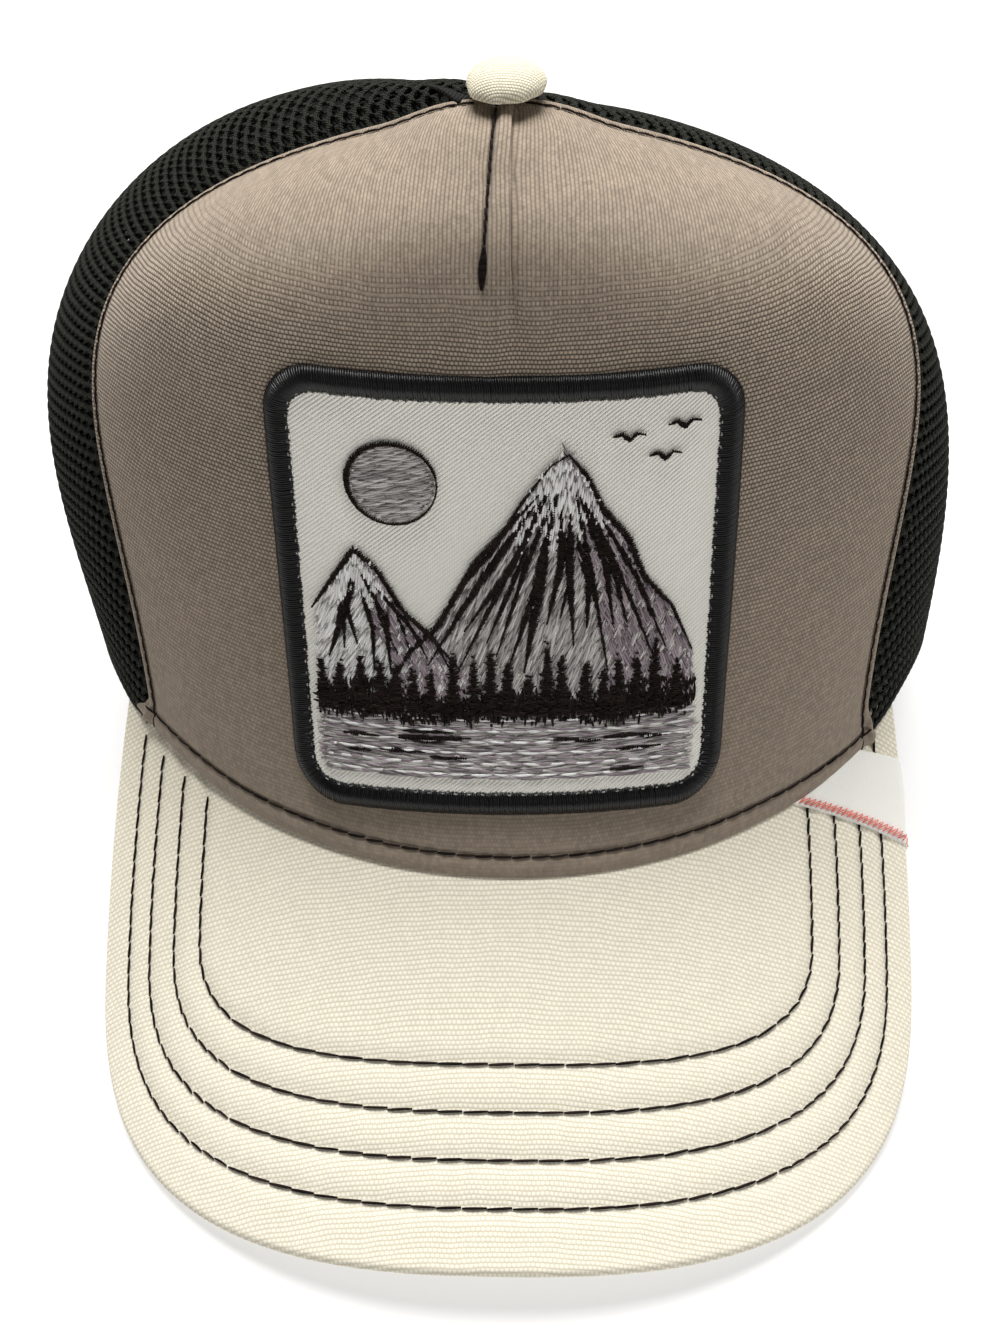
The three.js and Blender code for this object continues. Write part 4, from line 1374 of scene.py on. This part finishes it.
def tag_place(start, along, lift):
    """The ribbon's path over the peak: along runs from the crown's seam, over the edge and
    underneath, in mm; lift is its height over the cloth."""
    inner, end, edge = ribbon_way(start)
    radius = PEAK_THICKNESS / 2 + lift
    flat_length = edge - inner - PEAK_THICKNESS / 2
    bend = math.pi * (PEAK_THICKNESS / 2 + 0.35)
    over = np.clip(along, 0, flat_length)
    turn = np.clip((along - flat_length) / bend, 0, 1) * np.pi
    under = np.maximum(along - flat_length - bend, 0)
    x = inner + over + radius * np.sin(turn) - under
    y = lerp(start, end, np.clip(over / flat_length, 0, 1))
    raised = -PEAK_THICKNESS / 2 + radius * np.cos(turn)
    return on_peak(x, y, raised)


def side_tag():
    top = TAG["lift"] + TAG["thickness"]

    def shape(u, v):
        start = lerp(TAG["front"], TAG["back"], (v + 1) / 2)
        inner, _, edge = ribbon_way(start)
        along = (u + 1) / 2 * (edge - inner + 4 + TAG["under"])
        ripple = 0.12 * np.sin(v * 3.0 + 0.5)
        return tag_place(start, along, top + ripple), np.stack([along, start], -1)

    piece = mapped_grid("ribbon_tag", 70, 24, shape)
    thicken(piece, TAG["thickness"])
    ways, starts = np.meshgrid(np.linspace(-1, 1, 90), np.linspace(-1, 1, 25))
    laid = shape(ways.ravel(), starts.ravel())[0].reshape(25, 90, 3)
    dress(piece, white_ribbon, "ribbon", "side_tag")
    # A red zigzag along the front edge
    inner, _, edge = ribbon_way(TAG["front"])
    visible = float(edge - inner) + 3
    count = int(visible / 0.52)
    along = np.linspace(0.2, visible, count + 1)
    start = np.where(np.arange(count + 1) % 2, TAG["front"] + 0.25, TAG["front"] + 1.85)
    points = tag_place(start, along, top + 0.12)
    up = unit(np.cross(np.gradient(points, axis=0), np.array([0, 1.0, 0])))
    up = np.where((up[:, 2] < 0)[:, None], -up, up)
    zigzag = {
        "start": points[:-1], "end": points[1:], "up": up[:-1],
        "width": np.full(count, 0.19), "height": np.full(count, 0.2),
        "shade": rng.uniform(0, 1, count),
    }
    dress(strands("tag_zigzag", satin_form, [zigzag]), red_thread, "ribbon")


def sweatband():
    piece = rim_strip("rim_band", -BAND["angle"], BAND["angle"], BAND["low"], BAND["high"], depth=2.3,
                      thickness=1.5, columns=220, front_low=BAND["front_low"])
    return dress(piece, black_tape, "band", "sweatband")


def snap_strap():
    piece = rim_strip("strap", 140, 220, 1.2, 18.0, depth=4.6, thickness=1.6, columns=90, front_low=1.2)
    return dress(piece, strap_plastic, "strap_plastic", "snap_strap")


def back_binding():
    def shape(u, v):
        turn = np.pi * (u + 1) / 2
        inward = lerp(-BINDING["outside"], BINDING["inside"], (v + 1) / 2)
        across = (OPENING["half_width"] - inward) * np.cos(turn)
        up = 0.5 + (OPENING["height"] - inward) * np.sin(turn)
        lift = 0.7 - 0.5 * v**4
        return rear.point(across, up, lift), np.stack([turn * 45, inward], -1)

    piece = mapped_grid("opening_binding", 120, 10, shape, flip=True)
    thicken(piece, BINDING["thickness"], 0.4)
    # A thick tape over the opening's edge, reaching a little outside it and further in
    return dress(piece, black_tape, "band", "back_binding")


def seam_tapes():
    for side, sign in (("left", -1), ("right", 1)):
        def back_line(share, sign=sign):
            t = lerp(TAPE_ENDS["low"], TAPE_ENDS["high"], share)
            return slack_crown, sign * back_seam(t), t

        def front_line(share, sign=sign):
            t = share * TAPE_ENDS["front_high"]
            return slack_crown, sign * (front_seam(t) + 1.5), t

        dress(strip_along(f"side_tape_{side}", back_line, **TAPES["side"]), black_tape, "band")
        dress(strip_along(f"front_tape_{side}", front_line, **TAPES["front"]), black_tape, "band")
    over_opening = float(rear.place(0.0, OPENING["height"])[1])

    def middle_line(share):
        return crown, 0 * share + 180, lerp(over_opening, TAPE_ENDS["high"], share)

    dress(strip_along("back_tape", middle_line, **TAPES["side"]), black_tape, "band")


# Camera, floor and light
VIEW = {"target": (-1.83, -35.27, 45.5), "elevation": 50.49, "azimuth": 2.86, "roll": -1.87,
        "distance": 455.4, "focal": 2339.0, "picture_width": 1000.0}


def camera():
    elevation, azimuth = math.radians(VIEW["elevation"]), math.radians(VIEW["azimuth"])
    back = Vector((math.sin(azimuth) * math.cos(elevation), -math.cos(azimuth) * math.cos(elevation),
                   math.sin(elevation)))
    target = Vector((np.array(VIEW["target"]) + HAT_TO_ROW) * MM)
    data = bpy.data.cameras.new("camera")
    data.sensor_fit = "HORIZONTAL"
    data.sensor_width = 36
    data.lens = VIEW["focal"] / VIEW["picture_width"] * data.sensor_width
    data.clip_start = 0.01
    eye = bpy.data.objects.new("camera", data)
    turn = back.to_track_quat("Z", "Y").to_matrix() @ Matrix.Rotation(math.radians(VIEW["roll"]), 3, "Z")
    eye.matrix_world = Matrix.Translation(target + back * VIEW["distance"] * MM) @ turn.to_4x4()
    bpy.context.scene.collection.objects.link(eye)
    bpy.context.scene.camera = eye


def floor():
    bm = bmesh.new()
    bmesh.ops.create_grid(bm, x_segments=1, y_segments=1, size=4)
    piece = new_piece("floor", bm)
    look = Finish("pale_floor", 0.8, srgb(170, 169, 168), Emission_Color=(1, 1, 1, 1),
                  Emission_Strength=0.6)
    look.raise_by(look.noise(look.object_place(), 300, 2.0), 0.0001, 0.2)
    piece.data.materials.append(look.material)


def area_light(name, place, aim, size, power, colour=(1, 1, 1)):
    data = bpy.data.lights.new(name, "AREA")
    data.shape = "DISK"
    data.size = size
    data.energy = power
    data.color = colour
    lamp = bpy.data.objects.new(name, data)
    way = Vector(aim) - Vector(place)
    lamp.matrix_world = Matrix.Translation(place) @ way.to_track_quat("-Z", "Y").to_matrix().to_4x4()
    bpy.context.scene.collection.objects.link(lamp)


def light():
    area_light("overhead", (-0.1, 1.12, 2.55), (0, 0, 0.08), 1.9, 156, (1.0, 0.995, 0.985))
    area_light("from_right", (1.1, -0.5, 0.6), (0, 0, 0.08), 0.3, 2.0)
    world = bpy.data.worlds.new("studio")
    world.use_nodes = True
    background = world.node_tree.nodes["Background"]
    background.inputs["Color"].default_value = (1, 1, 1, 1)
    background.inputs["Strength"].default_value = 0.1
    bpy.context.scene.world = world
    bpy.context.scene.view_settings.view_transform = "Standard"


camera()
floor()
light()
front_panel()
front_stitches()
for side_name in ("left", "right"):
    open_mesh(f"net_side_{side_name}", sides[side_name], f"mesh_side_{side_name}",
              corner_edge(side_name), 1 if side_name == "right" else -1)
    open_mesh(f"net_back_{side_name}", backs[side_name], f"mesh_back_{side_name}",
              opening_edge(side_name), hole=math.pi / 4 * OPENING["half_width"] * OPENING["height"])
seam_tapes()
peak()
peak_stitches()
patch_ground()
patch_border()
border_seam()
embroidery()
button()
side_tag()
sweatband()
snap_strap()
back_binding()

bpy.context.view_layer.update()
